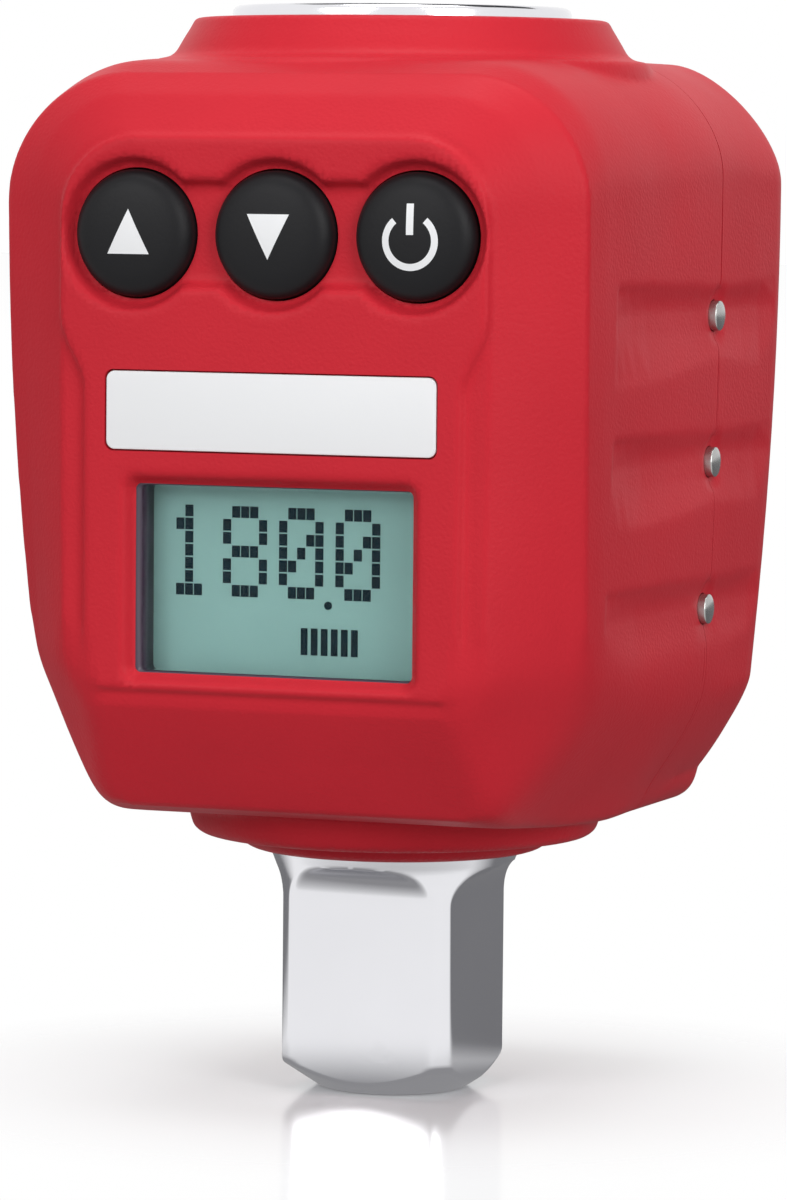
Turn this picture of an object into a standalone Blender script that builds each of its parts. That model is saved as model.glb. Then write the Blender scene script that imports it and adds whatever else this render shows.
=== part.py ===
# Digital torque adapter: a square-drive spindle with a strain-gauged neck, carried in a two-part moulded
# housing with a display, three push buttons, side lamps and two cells behind a rear cover.
# Metres. The origin is the centre of the male square's end face, +Z runs up the drive axis,
# -Y is the display side and +X is the right side as seen from the display.

import math

import bmesh
import bpy
from mathutils import Matrix, Vector

MM = 0.001

# Clearances
GAP = 0.3 * MM                # between pieces that touch or seat
SLIDE_GAP = 0.3 * MM          # round a piece that travels

# Spindle
DRIVE_SQUARE = 12.7 * MM      # across the flats of the male square
DRIVE_CORNER_D = 16.5 * MM    # turned diameter left on the square's corners
DRIVE_LENGTH = 16.85 * MM     # end face to the lower face of the housing
DRIVE_END_D = 10.4 * MM       # flat end face
DRIVE_CONE = 2.0 * MM         # height of the end cone at the corners
RUNOUT_R = 2.6 * MM           # cutter radius where the flats run out
RUNOUT_END = 0.7 * MM         # end of the flats below the housing
JOURNAL_D = 17.8 * MM         # round part under the lower collar
NECK_D = 14.0 * MM            # gauged torsion neck
NECK_FILLET = 2.5 * MM
HEAD_D = 23.6 * MM            # female head
HEAD_LENGTH = 19.0 * MM
HEAD_EDGE = 0.7 * MM          # rounding of the head's top edge
HEAD_PROUD = 0.85 * MM        # head above the upper collar
SOCKET_SQUARE = 13.0 * MM     # across the flats of the female square
SOCKET_DEPTH = 16.0 * MM
SOCKET_MOUTH_D = 18.8 * MM    # lead-in cone
SOCKET_GROOVE_D = 15.2 * MM   # turned groove that a mating ball snaps into
SOCKET_GROOVE_W = 3.0 * MM
SOCKET_GROOVE_DEPTH = 8.0 * MM
SEAL_W = 1.6 * MM             # axial width of both seal rings
SEAL_T = 0.8 * MM             # radial thickness of both seal rings

# Detent in the rear flat of the male square
BALL_D = 4.0 * MM
BALL_Z = 7.5 * MM
BALL_PROUD = 1.0 * MM
BALL_TRAVEL = 0.9 * MM
DETENT_WIRE = 0.45 * MM
DETENT_SPRING_L = 3.0 * MM
DETENT_TURNS = 3.5

# Housing outline
LOWER_STEP_H = 1.1 * MM       # small step under the lower collar
LOWER_STEP_R = 10.9 * MM
LOWER_COLLAR_H = 1.35 * MM
LOWER_COLLAR_R = 14.4 * MM
BODY_H = 52.7 * MM            # body between the collars
UPPER_COLLAR_H = 2.75 * MM
UPPER_COLLAR_R = 14.4 * MM    # at its top rim
UPPER_COLLAR_FOOT = 16.0 * MM
BODY_FRONT = 23.4 * MM        # axis to the front ledge
BODY_REAR = 23.7 * MM         # axis to the rear face
BODY_HALF_W = 21.7 * MM       # at the widest, near the rear
CHEEK_DRAW = 0.85 * MM        # outer edges of the front chamfers inside the widest part
SEAM_INSET = 0.2 * MM         # sides at the seam inside the widest part, which is near the rear
FACE_HALF_W = 15.25 * MM      # at the inner edge of the front chamfers
CHAMFER_DEPTH = 3.2 * MM      # front chamfers, front to back
SIDE_DRAW = 1.6 * MM          # draw of the outline, which grows downwards to this much
SIDE_DRAW_H = 31.6 * MM       # over this height
SIDE_SHARE = 0.42             # the sides move in by this share of the draw
EDGE_SHIFT = 1.75             # the front chamfers' outer edges move back by this times the draw
REAR_SHIFT = 1.6              # the rear corners begin further forward by this times the draw
FACE_TOP_DROP = 5.2 * MM      # front ledge below the body's top
FACE_BOTTOM_RISE = 9.2 * MM   # front ledge above the body's base
BROW_DROP = 1.3 * MM          # top of the cheeks below the body's top
CHIN_RISE = 1.8 * MM          # underside is higher at the front by this
CHIN_DEPTH = 20.0 * MM        # front to back, until the underside is level
TOP_CORNER = 8.6 * MM
LOWER_CORNER_H = 9.0 * MM     # slanted lower corners, down to the underside
LOWER_CORNER_W = 4.4 * MM
LOWER_LIP = 2.0 * MM          # upright lip under them at the rear
REAR_CORNER = 5.0 * MM
WALL = 2.0 * MM
SEAM_Y = 6.5 * MM
SEAM_GAP = 0.3 * MM

# Front panel
PANEL_HALF_W = 13.5 * MM      # round the display and label
PANEL_BROAD_HALF_W = 15.3 * MM  # round the buttons
PANEL_FLARE_Z = (49.5 * MM, 54.5 * MM)
PANEL_BOTTOM = 29.4 * MM
PANEL_TOP = 66.6 * MM
PANEL_RAISE = 0.5 * MM
PANEL_CORNER = 5.6 * MM       # upper corners
PANEL_LOWER_CORNER = 1.0 * MM
WINDOW_W = 19.9 * MM
WINDOW_H = 12.7 * MM
WINDOW_Z = 36.95 * MM
WINDOW_BEVEL = 0.7 * MM       # how far the sloping frame reaches round the window
LENS_T = 1.0 * MM
LENS_BORDER = 1.2 * MM
LENS_DEPTH = 1.3 * MM         # lens front below the panel
LABEL_W = 23.6 * MM
LABEL_H = 5.25 * MM
LABEL_Z = 48.2 * MM
LABEL_CORNER = 0.6 * MM
LABEL_T = 0.35 * MM
LABEL_SINK = 0.55 * MM

# Buttons
BUTTON_D = 8.5 * MM
BUTTON_PITCH = 10.04 * MM
BUTTON_Z = 60.0 * MM
BUTTON_TRAVEL = 0.6 * MM
BUTTON_RECESS_D = 9.6 * MM
BUTTON_RECESS_WAIST = 6.6 * MM
BUTTON_RECESS_EDGE = 0.3 * MM # width of the recess's soft edge at the panel
BUTTON_RECESS_DEPTH = 1.1 * MM
BUTTON_PROUD = 0.55 * MM      # crown above the panel
BUTTON_DOME = 0.9 * MM        # rise of the domed crown
BUTTON_FLANGE = 0.5 * MM      # width of the flange that keeps a button in
BUTTON_FLANGE_T = 0.7 * MM

# Circuit board and what it carries
PCB_HALF_W = 14.2 * MM
PCB_BOTTOM = 26.6 * MM
PCB_TOP = 67.2 * MM
PCB_T = 1.2 * MM
PCB_FRONT_Y = -17.4 * MM
LCD_BORDER = 1.3 * MM
LCD_T = 1.6 * MM
LCD_FRONT_Y = -20.4 * MM
LCD_HOLDER_WALL = 1.2 * MM
ZEBRA_T = 1.0 * MM
SWITCH_W = 4.4 * MM
SWITCH_H = 1.5 * MM
SWITCH_KEY_D = 2.2 * MM
SWITCH_KEY_H = 0.5 * MM
KEY_GAP = 0.1 * MM            # left between stem and key when a button is down
PCB_SCREW_X = 12.0 * MM
PCB_SCREW_Z = 53.6 * MM
BUZZER_D = 9.0 * MM
BUZZER_T = 3.0 * MM
BUZZER_X = -7.5 * MM
BUZZER_Z = 33.0 * MM
CHIP_W = 7.0 * MM
CHIP_T = 1.1 * MM
CHIP_X = 7.0 * MM
CHIP_Z = 33.0 * MM
PLUG_W = 6.0 * MM
PLUG_H = 3.0 * MM
PLUG_T = 2.4 * MM
PLUG_Z = 46.0 * MM

# Side lamps and grip grooves
LAMP_Z = (54.4 * MM, 44.2 * MM, 33.9 * MM)
LAMP_D = 2.1 * MM
LAMP_LENGTH = 3.0 * MM
LAMP_SINK = 0.05 * MM         # lamp tip below the side of the housing
LAMP_CONE_D = 4.4 * MM        # countersink round a lamp
LAMP_CONE_DEPTH = 0.3 * MM
LAMP_BOARD_T = 0.8 * MM
LAMP_BOARD_W = 4.0 * MM
GROOVE_DEPTH = 0.4 * MM
GROOVE_RISE = 2.0 * MM        # steep upper wall above the lamp's axis
GROOVE_FALL = 4.2 * MM        # gentle lower wall below it
GROOVE_START_Y = -14.5 * MM
GROOVE_RUN_IN = 7.0 * MM
GROOVE_END_Y = 18.5 * MM

# Strain gauges
GAUGE_W = 4.0 * MM
GAUGE_H = 7.0 * MM
GAUGE_T = 0.3 * MM
GAUGE_Z = 40.0 * MM
RIBBON_W = 3.0 * MM
RIBBON_T = 0.3 * MM

# Cells and their bay
CELL_D = 10.5 * MM
CELL_LENGTH = 43.3 * MM
CELL_NUB_D = 3.8 * MM
CELL_NUB_H = 0.9 * MM
CELL_X = 8.2 * MM
CELL_Y = 16.9 * MM
BAY_BOTTOM = 21.6 * MM
CELL_SPRING_H = 1.5 * MM
CELL_SPRING_D = 6.0 * MM
CELL_WIRE = 0.5 * MM
CELL_TURNS = 2.25
CONTACT_T = 0.4 * MM
CONTACT_W = 7.0 * MM
BAY_WALL = 1.3 * MM

# Rear cover and its joint
COVER_HALF_W = 14.2 * MM
COVER_Z = (22.0 * MM, 68.4 * MM)
COVER_LEDGE = 0.9 * MM        # ledge under the cover's upper and lower ends
COVER_T = 1.2 * MM
COVER_RIB_W = 2.0 * MM
COVER_RIB_DEPTH = 1.2 * MM
COVER_RIB_END = 8.0 * MM      # rib's ends from the bay's ends
COVER_GRIP_RIBS = 5
COVER_GRIP_PITCH = 1.6 * MM
COVER_GRIP_R = 0.45 * MM
COVER_LIFT = 14.0 * MM

# Fasteners
SCREW_D = 2.2 * MM
SCREW_HEAD_D = 3.4 * MM
SCREW_HEAD_H = 1.3 * MM
SCREW_LENGTH = 13.0 * MM
SCREW_INSET = 4.6 * MM        # screws inside the widest part
SCREW_Z = (30.2 * MM, 61.5 * MM)
SCREW_SEAT_Y = 19.4 * MM
BOSS_D = 4.4 * MM
PCB_SCREW_D = 1.6 * MM
PCB_SCREW_HEAD_D = 2.8 * MM
PCB_SCREW_HEAD_H = 0.9 * MM
PCB_SCREW_LENGTH = 3.6 * MM
PCB_BOSS_D = 3.2 * MM
PIN_D = 3.0 * MM
PIN_LENGTH = 5.0 * MM
PIN_DEPTH = 2.2 * MM          # how far the pin sits in the head
PIN_Z = 64.0 * MM

# Fineness of round shapes
ROUND = 48
SMALL_ROUND = 20
CORNER_STEPS = 8
SIDE_STEPS = 4                # straight stretches along a curved side

# Levels that follow from the sizes above
BODY_Z = DRIVE_LENGTH + LOWER_STEP_H + LOWER_COLLAR_H
SCREW_X = BODY_HALF_W - SCREW_INSET
BODY_TOP = BODY_Z + BODY_H
COLLAR_TOP = BODY_TOP + UPPER_COLLAR_H
HEAD_TOP = COLLAR_TOP + HEAD_PROUD
HEAD_BOTTOM = HEAD_TOP - HEAD_LENGTH
CHEEK_HALF_W = BODY_HALF_W - CHEEK_DRAW
PANEL_Y = -BODY_FRONT - PANEL_RAISE
CHEEK_Y = -BODY_FRONT + CHAMFER_DEPTH
LENS_Y = PANEL_Y + LENS_DEPTH
RECESS_Y = PANEL_Y + BUTTON_RECESS_DEPTH
PCB_BACK_Y = PCB_FRONT_Y + PCB_T
UPPER_BORE_R = HEAD_D / 2 + GAP
LOWER_BORE_R = JOURNAL_D / 2 + GAP
CELL_FULL = CELL_LENGTH + CELL_NUB_H
CONTACT_LEVEL = BAY_BOTTOM + 2 * GAP + CONTACT_T
BAY_TOP = CONTACT_LEVEL + CELL_FULL + CELL_SPRING_H + CONTACT_T + 2 * GAP
BAY_R = CELL_D / 2 + GAP
COVER_INNER_Y = BODY_REAR - COVER_T


# Materials

def material(name, color, roughness, metallic=0.0):
    mat = bpy.data.materials.new(name)
    mat.use_nodes = True
    shader = mat.node_tree.nodes["Principled BSDF"]
    shader.inputs["Base Color"].default_value = (*color, 1.0)
    shader.inputs["Roughness"].default_value = roughness
    shader.inputs["Metallic"].default_value = metallic
    mat.diffuse_color = (*color, 1.0)
    return mat


# Mesh helpers

def add_object(name, verts, faces, mat=None, smooth=True):
    mesh = bpy.data.meshes.new(name)
    mesh.from_pydata([tuple(v) for v in verts], [], faces)
    bm = bmesh.new()
    bm.from_mesh(mesh)
    bmesh.ops.recalc_face_normals(bm, faces=bm.faces)
    bm.to_mesh(mesh)
    bm.free()
    if smooth:
        mesh.shade_smooth()
        mesh.set_sharp_from_angle(angle=math.radians(35))
    obj = bpy.data.objects.new(name, mesh)
    bpy.context.scene.collection.objects.link(obj)
    if mat:
        mesh.materials.append(mat)
    return obj


def loft(name, rings, mat=None):
    """A closed solid through rings of equal point counts, capped at both ends."""
    count = len(rings[0])
    verts = [point for ring in rings for point in ring]
    faces = []
    for level in range(len(rings) - 1):
        low, high = level * count, (level + 1) * count
        for i in range(count):
            j = (i + 1) % count
            faces.append((low + i, low + j, high + j, high + i))
    faces.append(tuple(range(count)))
    faces.append(tuple(reversed(range(len(verts) - count, len(verts)))))
    return add_object(name, verts, faces, mat)


def turned(name, profile, mat=None, steps=ROUND, axis="Z", at=(0, 0, 0)):
    """A solid of revolution from a closed outline of (radius, height) points off or on the axis."""
    verts, rings = [], []
    for radius, height in profile:
        if radius < 1e-9:
            rings.append([len(verts)])
            verts.append(Vector((0, 0, height)))
            continue
        ring = []
        for i in range(steps):
            turn = 2 * math.pi * i / steps
            ring.append(len(verts))
            verts.append(Vector((radius * math.cos(turn), radius * math.sin(turn), height)))
        rings.append(ring)
    faces = []
    for ring_a, ring_b in zip(rings, rings[1:] + rings[:1]):
        for i in range(steps):
            j = (i + 1) % steps
            corners = [ring_a[i % len(ring_a)], ring_a[j % len(ring_a)],
                       ring_b[j % len(ring_b)], ring_b[i % len(ring_b)]]
            face = list(dict.fromkeys(corners))
            if len(face) > 2:
                faces.append(face)
    turn = {"Z": Matrix(), "X": Matrix.Rotation(math.pi / 2, 4, "Y"),
            "Y": Matrix.Rotation(-math.pi / 2, 4, "X")}[axis]
    obj = add_object(name, verts, faces, mat)
    obj.data.transform(Matrix.Translation(at) @ turn)
    return obj


def rod(name, radius, low, high, mat=None, steps=SMALL_ROUND, axis="Z", at=(0, 0, 0)):
    return turned(name, [(0, low), (radius, low), (radius, high), (0, high)], mat, steps, axis, at)


def block(name, low, high, mat=None, bevel=0.0):
    xs, ys, zs = zip(low, high)
    verts = [(x, y, z) for x in xs for y in ys for z in zs]
    faces = [(0, 1, 3, 2), (4, 6, 7, 5), (0, 4, 5, 1), (2, 3, 7, 6), (0, 2, 6, 4), (1, 5, 7, 3)]
    obj = add_object(name, verts, faces, mat, smooth=False)
    if bevel:
        edge = obj.modifiers.new("Edges", "BEVEL")
        edge.width = bevel
        edge.segments = 2
    return obj


def plate(name, outline, y_low, y_high, mat=None):
    """An outline of (x, z) points given thickness along Y."""
    return loft(name, [[(x, y, z) for x, z in outline] for y in (y_low, y_high)], mat)


def rounded_rectangle(half_w, bottom, top, corner, steps=5, center_x=0.0, lower_corner=None):
    corners = ((1, top, corner, 0), (-1, top, corner, 90),
               (-1, bottom, lower_corner or corner, 180), (1, bottom, lower_corner or corner, 270))
    points = []
    for side, edge, radius, start in corners:
        inward = -1 if edge == top else 1
        for i in range(steps + 1):
            turn = math.radians(start + 90 * i / steps)
            points.append((center_x + side * (half_w - radius) + radius * math.cos(turn),
                           edge + inward * radius + radius * math.sin(turn)))
    return points


def boolean(target, tool, operation="DIFFERENCE", solver="EXACT"):
    step = target.modifiers.new(tool.name, "BOOLEAN")
    step.operation = operation
    step.solver = solver
    step.object = tool
    tool.hide_render = True
    tool.display_type = "WIRE"
    return target


def cut(target, *tools, solver="EXACT"):
    for tool in tools:
        boolean(target, tool, solver=solver)
    return target


def join(target, *tools):
    for tool in tools:
        boolean(target, tool, "UNION")
    return target


def corner_curve(start, corner, end, weight, steps):
    """A rational curve from start to end; weight 0 is a straight chamfer, 0.71 nearly a quarter circle."""
    points = []
    for i in range(steps + 1):
        t = i / steps
        a, b, c = (1 - t) ** 2, 2 * weight * t * (1 - t), t ** 2
        total = a + b + c
        points.append(tuple((a * s + b * k + c * e) / total for s, k, e in zip(start, corner, end)))
    return points


# Housing form

def side_draw(z):
    """How far the sides have curved in at height z."""
    return SIDE_DRAW * (max(BODY_TOP - TOP_CORNER - z, 0.0) / SIDE_DRAW_H) ** 2


def station(y, half_w, top, bottom, corner, fullness, lower_w, lower_h, lip, draw=SIDE_SHARE, shift=0.0):
    """One upright section of the body, as a closed ring of (x, y, z) points; its outer parts shift along Y."""
    side_high, side_low = top - corner, bottom + lower_h
    upper = corner_curve((half_w - corner, top), (half_w, top), (half_w, side_high), fullness, CORNER_STEPS)
    heights = [side_high + (side_low - side_high) * i / SIDE_STEPS for i in range(1, SIDE_STEPS)]
    side = [(half_w - draw * side_draw(z), z) for z in heights]
    low_x = half_w - draw * side_draw(side_low)
    foot = (low_x - lower_w, bottom + lip)
    slant = corner_curve((low_x, side_low), (low_x - 0.12 * lower_w, side_low - 0.3 * lower_h), foot, 0.6, 4)
    lower = corner_curve(foot, (foot[0] - 0.1 * lip, bottom), (foot[0] - lip, bottom), 0.8, 3)
    right = upper + side + slant + lower[1:]
    left = [(-x, z) for x, z in reversed(right)]
    ring = []
    for x, z in right + left:
        outward = min(max((abs(x) / BODY_HALF_W - 0.55) / 0.32, 0.0), 1.0)
        ring.append((x, y + shift * min(side_draw(z), 1.2 * SIDE_DRAW) * outward, z))
    return ring


def body_rings(inset=0.0):
    """Sections of the body from front to rear; an inset gives the inner side of its walls."""
    top, base = BODY_TOP - inset, BODY_Z + inset
    front, rear = -BODY_FRONT + inset, BODY_REAR - inset
    cheek = CHEEK_HALF_W - inset
    side = BODY_HALF_W - inset
    face = FACE_HALF_W - inset * 0.6
    chin = base + CHIN_RISE
    corner = TOP_CORNER - 0.5 * inset
    half_chamfer = (face + cheek) / 2
    mid_y = front + CHAMFER_DEPTH / 2
    width, height, lip = LOWER_CORNER_W, LOWER_CORNER_H, LOWER_LIP
    rings = [
        station(front, face, top - FACE_TOP_DROP, base + FACE_BOTTOM_RISE, 0.55 * corner, 0.7,
                0.4 * width, 0.24 * height, 0.1 * lip, 0.1),
        station(mid_y, half_chamfer, top - 0.52 * FACE_TOP_DROP, base + 0.6 * FACE_BOTTOM_RISE,
                0.8 * corner, 0.7, 0.8 * width, 0.7 * height, 0.15 * lip, 0.7 * SIDE_SHARE, 0.57 * EDGE_SHIFT),
        station(front + CHAMFER_DEPTH, cheek, top - BROW_DROP, chin, corner, 0.66,
                1.18 * width, 1.1 * height, 0.2 * lip, 1.2 * SIDE_SHARE, EDGE_SHIFT),
        station(front + 2.2 * CHAMFER_DEPTH, cheek + 0.25 * (side - cheek), top - 0.3 * BROW_DROP,
                base + 0.6 * CHIN_RISE, corner, 0.64, 1.14 * width, 1.06 * height, 0.4 * lip,
                1.15 * SIDE_SHARE, 0.57 * EDGE_SHIFT),
        station(front + CHAMFER_DEPTH + CHIN_DEPTH, side - SEAM_INSET - 0.1 * MM, top, base,
                0.95 * corner, 0.62, 0.93 * width, height, 0.85 * lip),
        station(SEAM_Y, side - SEAM_INSET, top, base, 0.92 * corner, 0.6, 0.91 * width, height, lip,
                SIDE_SHARE, -0.2 * REAR_SHIFT),
        station(rear - REAR_CORNER, side, top, base, 0.95 * corner, 0.45, 0.95 * width, height, lip,
                1.2 * SIDE_SHARE, -REAR_SHIFT),
    ]
    for turn in (25, 50, 72, 90):
        reach, pull = math.sin(math.radians(turn)), 1 - math.cos(math.radians(turn))
        rings.append(station(rear - REAR_CORNER * (1 - reach), side - REAR_CORNER * pull,
                             top - 0.7 * REAR_CORNER * pull, base + 0.5 * REAR_CORNER * pull,
                             0.95 * corner - 0.3 * REAR_CORNER * pull, 0.45,
                             0.95 * width - 0.2 * REAR_CORNER * pull, height, lip,
                             1.2 * SIDE_SHARE + REAR_SHIFT * pull, -REAR_SHIFT * (1 - reach)))
    return rings


def upper_collar():
    """Red collar round the head, with a flared foot that sinks into the body's top."""
    rim, foot = UPPER_COLLAR_R, UPPER_COLLAR_FOOT
    return turned("upper_collar_form", [
        (0, BODY_TOP - 2 * WALL), (foot + 1.6 * MM, BODY_TOP - 1.2 * MM),
        (foot + 1.4 * MM, BODY_TOP - 0.1 * MM),
        (foot + 0.5 * MM, BODY_TOP + 0.12 * MM), (foot, BODY_TOP + 0.45 * MM),
        (foot - 0.45 * (foot - rim), BODY_TOP + 0.5 * UPPER_COLLAR_H),
        (rim + 0.25 * MM, COLLAR_TOP - 0.6 * MM), (rim, COLLAR_TOP - 0.25 * MM),
        (rim - 0.3 * MM, COLLAR_TOP), (0, COLLAR_TOP)])


def lower_collar():
    """Two rounded steps under the body, round the drive's neck."""
    shelf = DRIVE_LENGTH + LOWER_STEP_H
    r, step = LOWER_COLLAR_R, LOWER_STEP_R
    return turned("lower_collar_form", [
        (0, BODY_Z + 1.4 * WALL), (r + 0.1 * MM, BODY_Z + 1.4 * WALL), (r, BODY_Z - 0.2 * MM),
        (r - 0.3 * MM, shelf + 0.45 * MM), (r - 1.0 * MM, shelf + 0.08 * MM),
        (step + 0.1 * MM, shelf - 0.05 * MM), (step - 0.1 * MM, shelf - 0.35 * MM),
        (step - 0.5 * MM, DRIVE_LENGTH + 0.3 * MM), (step - 1.3 * MM, DRIVE_LENGTH), (0, DRIVE_LENGTH)])


def side_x(z):
    """Half width of the body's side at the seam, at height z above its slanted lower corners."""
    return BODY_HALF_W - SEAM_INSET - SIDE_SHARE * side_draw(z)


def groove_tool(name, z, side):
    """Cutter for one grip groove: steep above the lamp, gentle below, fading out at both ends."""
    rings = []
    for y, share in ((GROOVE_START_Y, -0.2), (GROOVE_START_Y + 0.45 * GROOVE_RUN_IN, 0.55),
                     (GROOVE_START_Y + GROOVE_RUN_IN, 1.0), (SEAM_Y, 1.0), (GROOVE_END_Y - 4 * MM, 0.8),
                     (GROOVE_END_Y, -0.2)):
        skin = side_x(z) - (CHEEK_DRAW - SEAM_INSET) * max(SEAM_Y - y, 0.0) / (SEAM_Y - CHEEK_Y)
        floor = skin - GROOVE_DEPTH * share
        out = skin + 3 * MM
        ring = [(out, z + GROOVE_RISE + 0.9 * MM), (skin + 0.15 * MM, z + GROOVE_RISE + 0.3 * MM),
                (floor + 0.06 * MM, z + GROOVE_RISE * 0.55), (floor, z + 0.25 * GROOVE_RISE),
                (floor + 0.12 * MM, z - 0.25 * GROOVE_FALL), (skin + 0.15 * MM, z - GROOVE_FALL),
                (out, z - GROOVE_FALL - 1.4 * MM)]
        rings.append([(side * x, y, height) for x, height in ring])
    return loft(name, rings)


def lamp_tool(name, z, side):
    """Hole for a lamp through the side wall, with its countersink."""
    skin = side_x(z) - 0.8 * GROOVE_DEPTH
    bore = LAMP_D / 2 + SLIDE_GAP / 2
    profile = [(0, skin - 3 * WALL), (bore, skin - 3 * WALL), (bore, skin - LAMP_CONE_DEPTH),
               (LAMP_CONE_D / 2 - 0.4 * MM, skin - 0.15 * LAMP_CONE_DEPTH),
               (LAMP_CONE_D / 2 + 0.3 * MM, skin + 0.6 * MM), (0, skin + 0.6 * MM)]
    tool = turned(name, profile, axis="X", steps=SMALL_ROUND, at=(0, SEAM_Y, z))
    if side < 0:
        tool.data.transform(Matrix.Scale(-1, 4, (1, 0, 0)))
        tool.data.flip_normals()
    return tool


# Spindle

def drive_body(mat):
    """One steel piece: female head, gauged neck and male square."""
    corner_r, end_r = DRIVE_CORNER_D / 2, DRIVE_END_D / 2
    journal_r, neck_r, head_r = JOURNAL_D / 2, NECK_D / 2, HEAD_D / 2
    journal_top = BODY_Z + CHIN_RISE + 2 * WALL
    seal_z = lower_seal_z()
    top_seal_z = upper_seal_z()
    groove_r = SEAL_T + GAP
    profile = [(0, 0), (end_r, 0), (corner_r, DRIVE_CONE), (corner_r, DRIVE_LENGTH - 1.6 * MM),
               (corner_r + 0.25 * (journal_r - corner_r), DRIVE_LENGTH - 0.9 * MM),
               (journal_r, DRIVE_LENGTH + 0.2 * MM)]
    profile += seal_groove(journal_r, seal_z, groove_r)
    profile += [(journal_r, journal_top), (neck_r + 0.5 * NECK_FILLET, journal_top + 0.4 * NECK_FILLET),
                (neck_r, journal_top + 1.2 * NECK_FILLET), (neck_r, HEAD_BOTTOM - 1.2 * NECK_FILLET),
                (neck_r + 0.5 * NECK_FILLET, HEAD_BOTTOM - 0.4 * NECK_FILLET),
                (head_r - 1 * MM, HEAD_BOTTOM), (head_r, HEAD_BOTTOM + 1 * MM)]
    profile += seal_groove(head_r, top_seal_z, groove_r)
    profile += [(head_r, HEAD_TOP - HEAD_EDGE), (head_r - 0.3 * HEAD_EDGE, HEAD_TOP - 0.3 * HEAD_EDGE),
                (head_r - HEAD_EDGE, HEAD_TOP), (0, HEAD_TOP)]
    body = turned("drive_body", profile, mat)
    for quarter in range(4):
        cut(body, flat_tool(quarter))
    cut(body, socket_tool(), socket_mouth_tool(), socket_groove_tool(), detent_bore_tool(), pin_bore_tool())
    return body


def seal_groove(radius, z, depth):
    half = SEAL_W / 2 + GAP
    return [(radius, z - half), (radius - depth, z - half), (radius - depth, z + half), (radius, z + half)]


def lower_seal_z():
    return BODY_Z + 0.5 * CHIN_RISE


def upper_seal_z():
    return BODY_TOP + 0.3 * UPPER_COLLAR_H


def flat_tool(quarter):
    """Milling cutter's sweep for one flat of the male square, with its rounded run-out."""
    flat, far = DRIVE_SQUARE / 2, JOURNAL_D / 2 + 4 * MM
    run_out = DRIVE_LENGTH - RUNOUT_END - RUNOUT_R
    profile = [(far, -1 * MM), (flat, -1 * MM)]
    for i in range(7):
        turn = math.radians(90 * i / 6)
        profile.append((flat + RUNOUT_R * (1 - math.cos(turn)), run_out + RUNOUT_R * math.sin(turn)))
    profile.append((far, run_out + RUNOUT_R))
    rings = [[(x, y, z) for x, z in profile] for y in (-far, far)]
    tool = loft(f"flat_tool_{quarter}", rings)
    tool.data.transform(Matrix.Rotation(math.pi / 2 * quarter, 4, "Z"))
    return tool


def socket_tool():
    half = SOCKET_SQUARE / 2
    tool = block("socket_tool", (-half, -half, HEAD_TOP - SOCKET_DEPTH), (half, half, HEAD_TOP + 1 * MM))
    pilot = rod("socket_pilot", half - 0.2 * MM, HEAD_TOP - SOCKET_DEPTH - 1.2 * MM, HEAD_TOP - 2 * MM,
                steps=ROUND)
    return join(tool, pilot)


def socket_mouth_tool():
    mouth = SOCKET_MOUTH_D / 2
    return turned("socket_mouth_tool", [(0, HEAD_TOP - 0.55 * mouth), (mouth, HEAD_TOP - 0.1 * MM),
                                        (mouth + 0.3 * MM, HEAD_TOP + 0.3 * MM), (0, HEAD_TOP + 0.3 * MM)])


def socket_groove_tool():
    middle = HEAD_TOP - SOCKET_GROOVE_DEPTH
    return rod("socket_groove_tool", SOCKET_GROOVE_D / 2, middle - SOCKET_GROOVE_W / 2,
               middle + SOCKET_GROOVE_W / 2, steps=ROUND)


def detent_bore_tool():
    depth = BALL_D - BALL_PROUD + SLIDE_GAP + DETENT_SPRING_L
    return rod("detent_bore_tool", BALL_D / 2 + SLIDE_GAP / 2, DRIVE_SQUARE / 2 - depth,
               DRIVE_SQUARE / 2 + 1 * MM, axis="Y", at=(0, 0, BALL_Z))


def pin_bore_tool():
    return rod("pin_bore_tool", PIN_D / 2 + GAP / 2, HEAD_D / 2 - PIN_DEPTH - GAP, HEAD_D / 2 + 1 * MM,
               axis="Y", at=(0, 0, PIN_Z))


def helix(name, radii, wire, low, high, turns, mat, axis="Z", at=(0, 0, 0), steps=12, sides=8):
    """A coil spring as one closed tube whose radius goes from the first to the second of two."""
    rise = high - low - 2 * wire
    rings = []
    count = int(turns * steps)
    for i in range(count + 1):
        along = i / count
        radius = radii[0] + (radii[1] - radii[0]) * along
        turn = 2 * math.pi * turns * along
        center = Vector((radius * math.cos(turn), radius * math.sin(turn), low + wire + rise * along))
        outward = Vector((math.cos(turn), math.sin(turn), 0))
        rings.append([center + wire * (outward * math.cos(a) + Vector((0, 0, math.sin(a))))
                      for a in (2 * math.pi * k / sides for k in range(sides))])
    obj = loft(name, rings, mat)
    bm = bmesh.new()
    bm.from_mesh(obj.data)
    bmesh.ops.triangulate(bm, faces=bm.faces)
    bm.to_mesh(obj.data)
    bm.free()
    turn = Matrix.Rotation(-math.pi / 2, 4, "X") if axis == "Y" else Matrix()
    obj.data.transform(Matrix.Translation(at) @ turn)
    return obj


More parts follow.
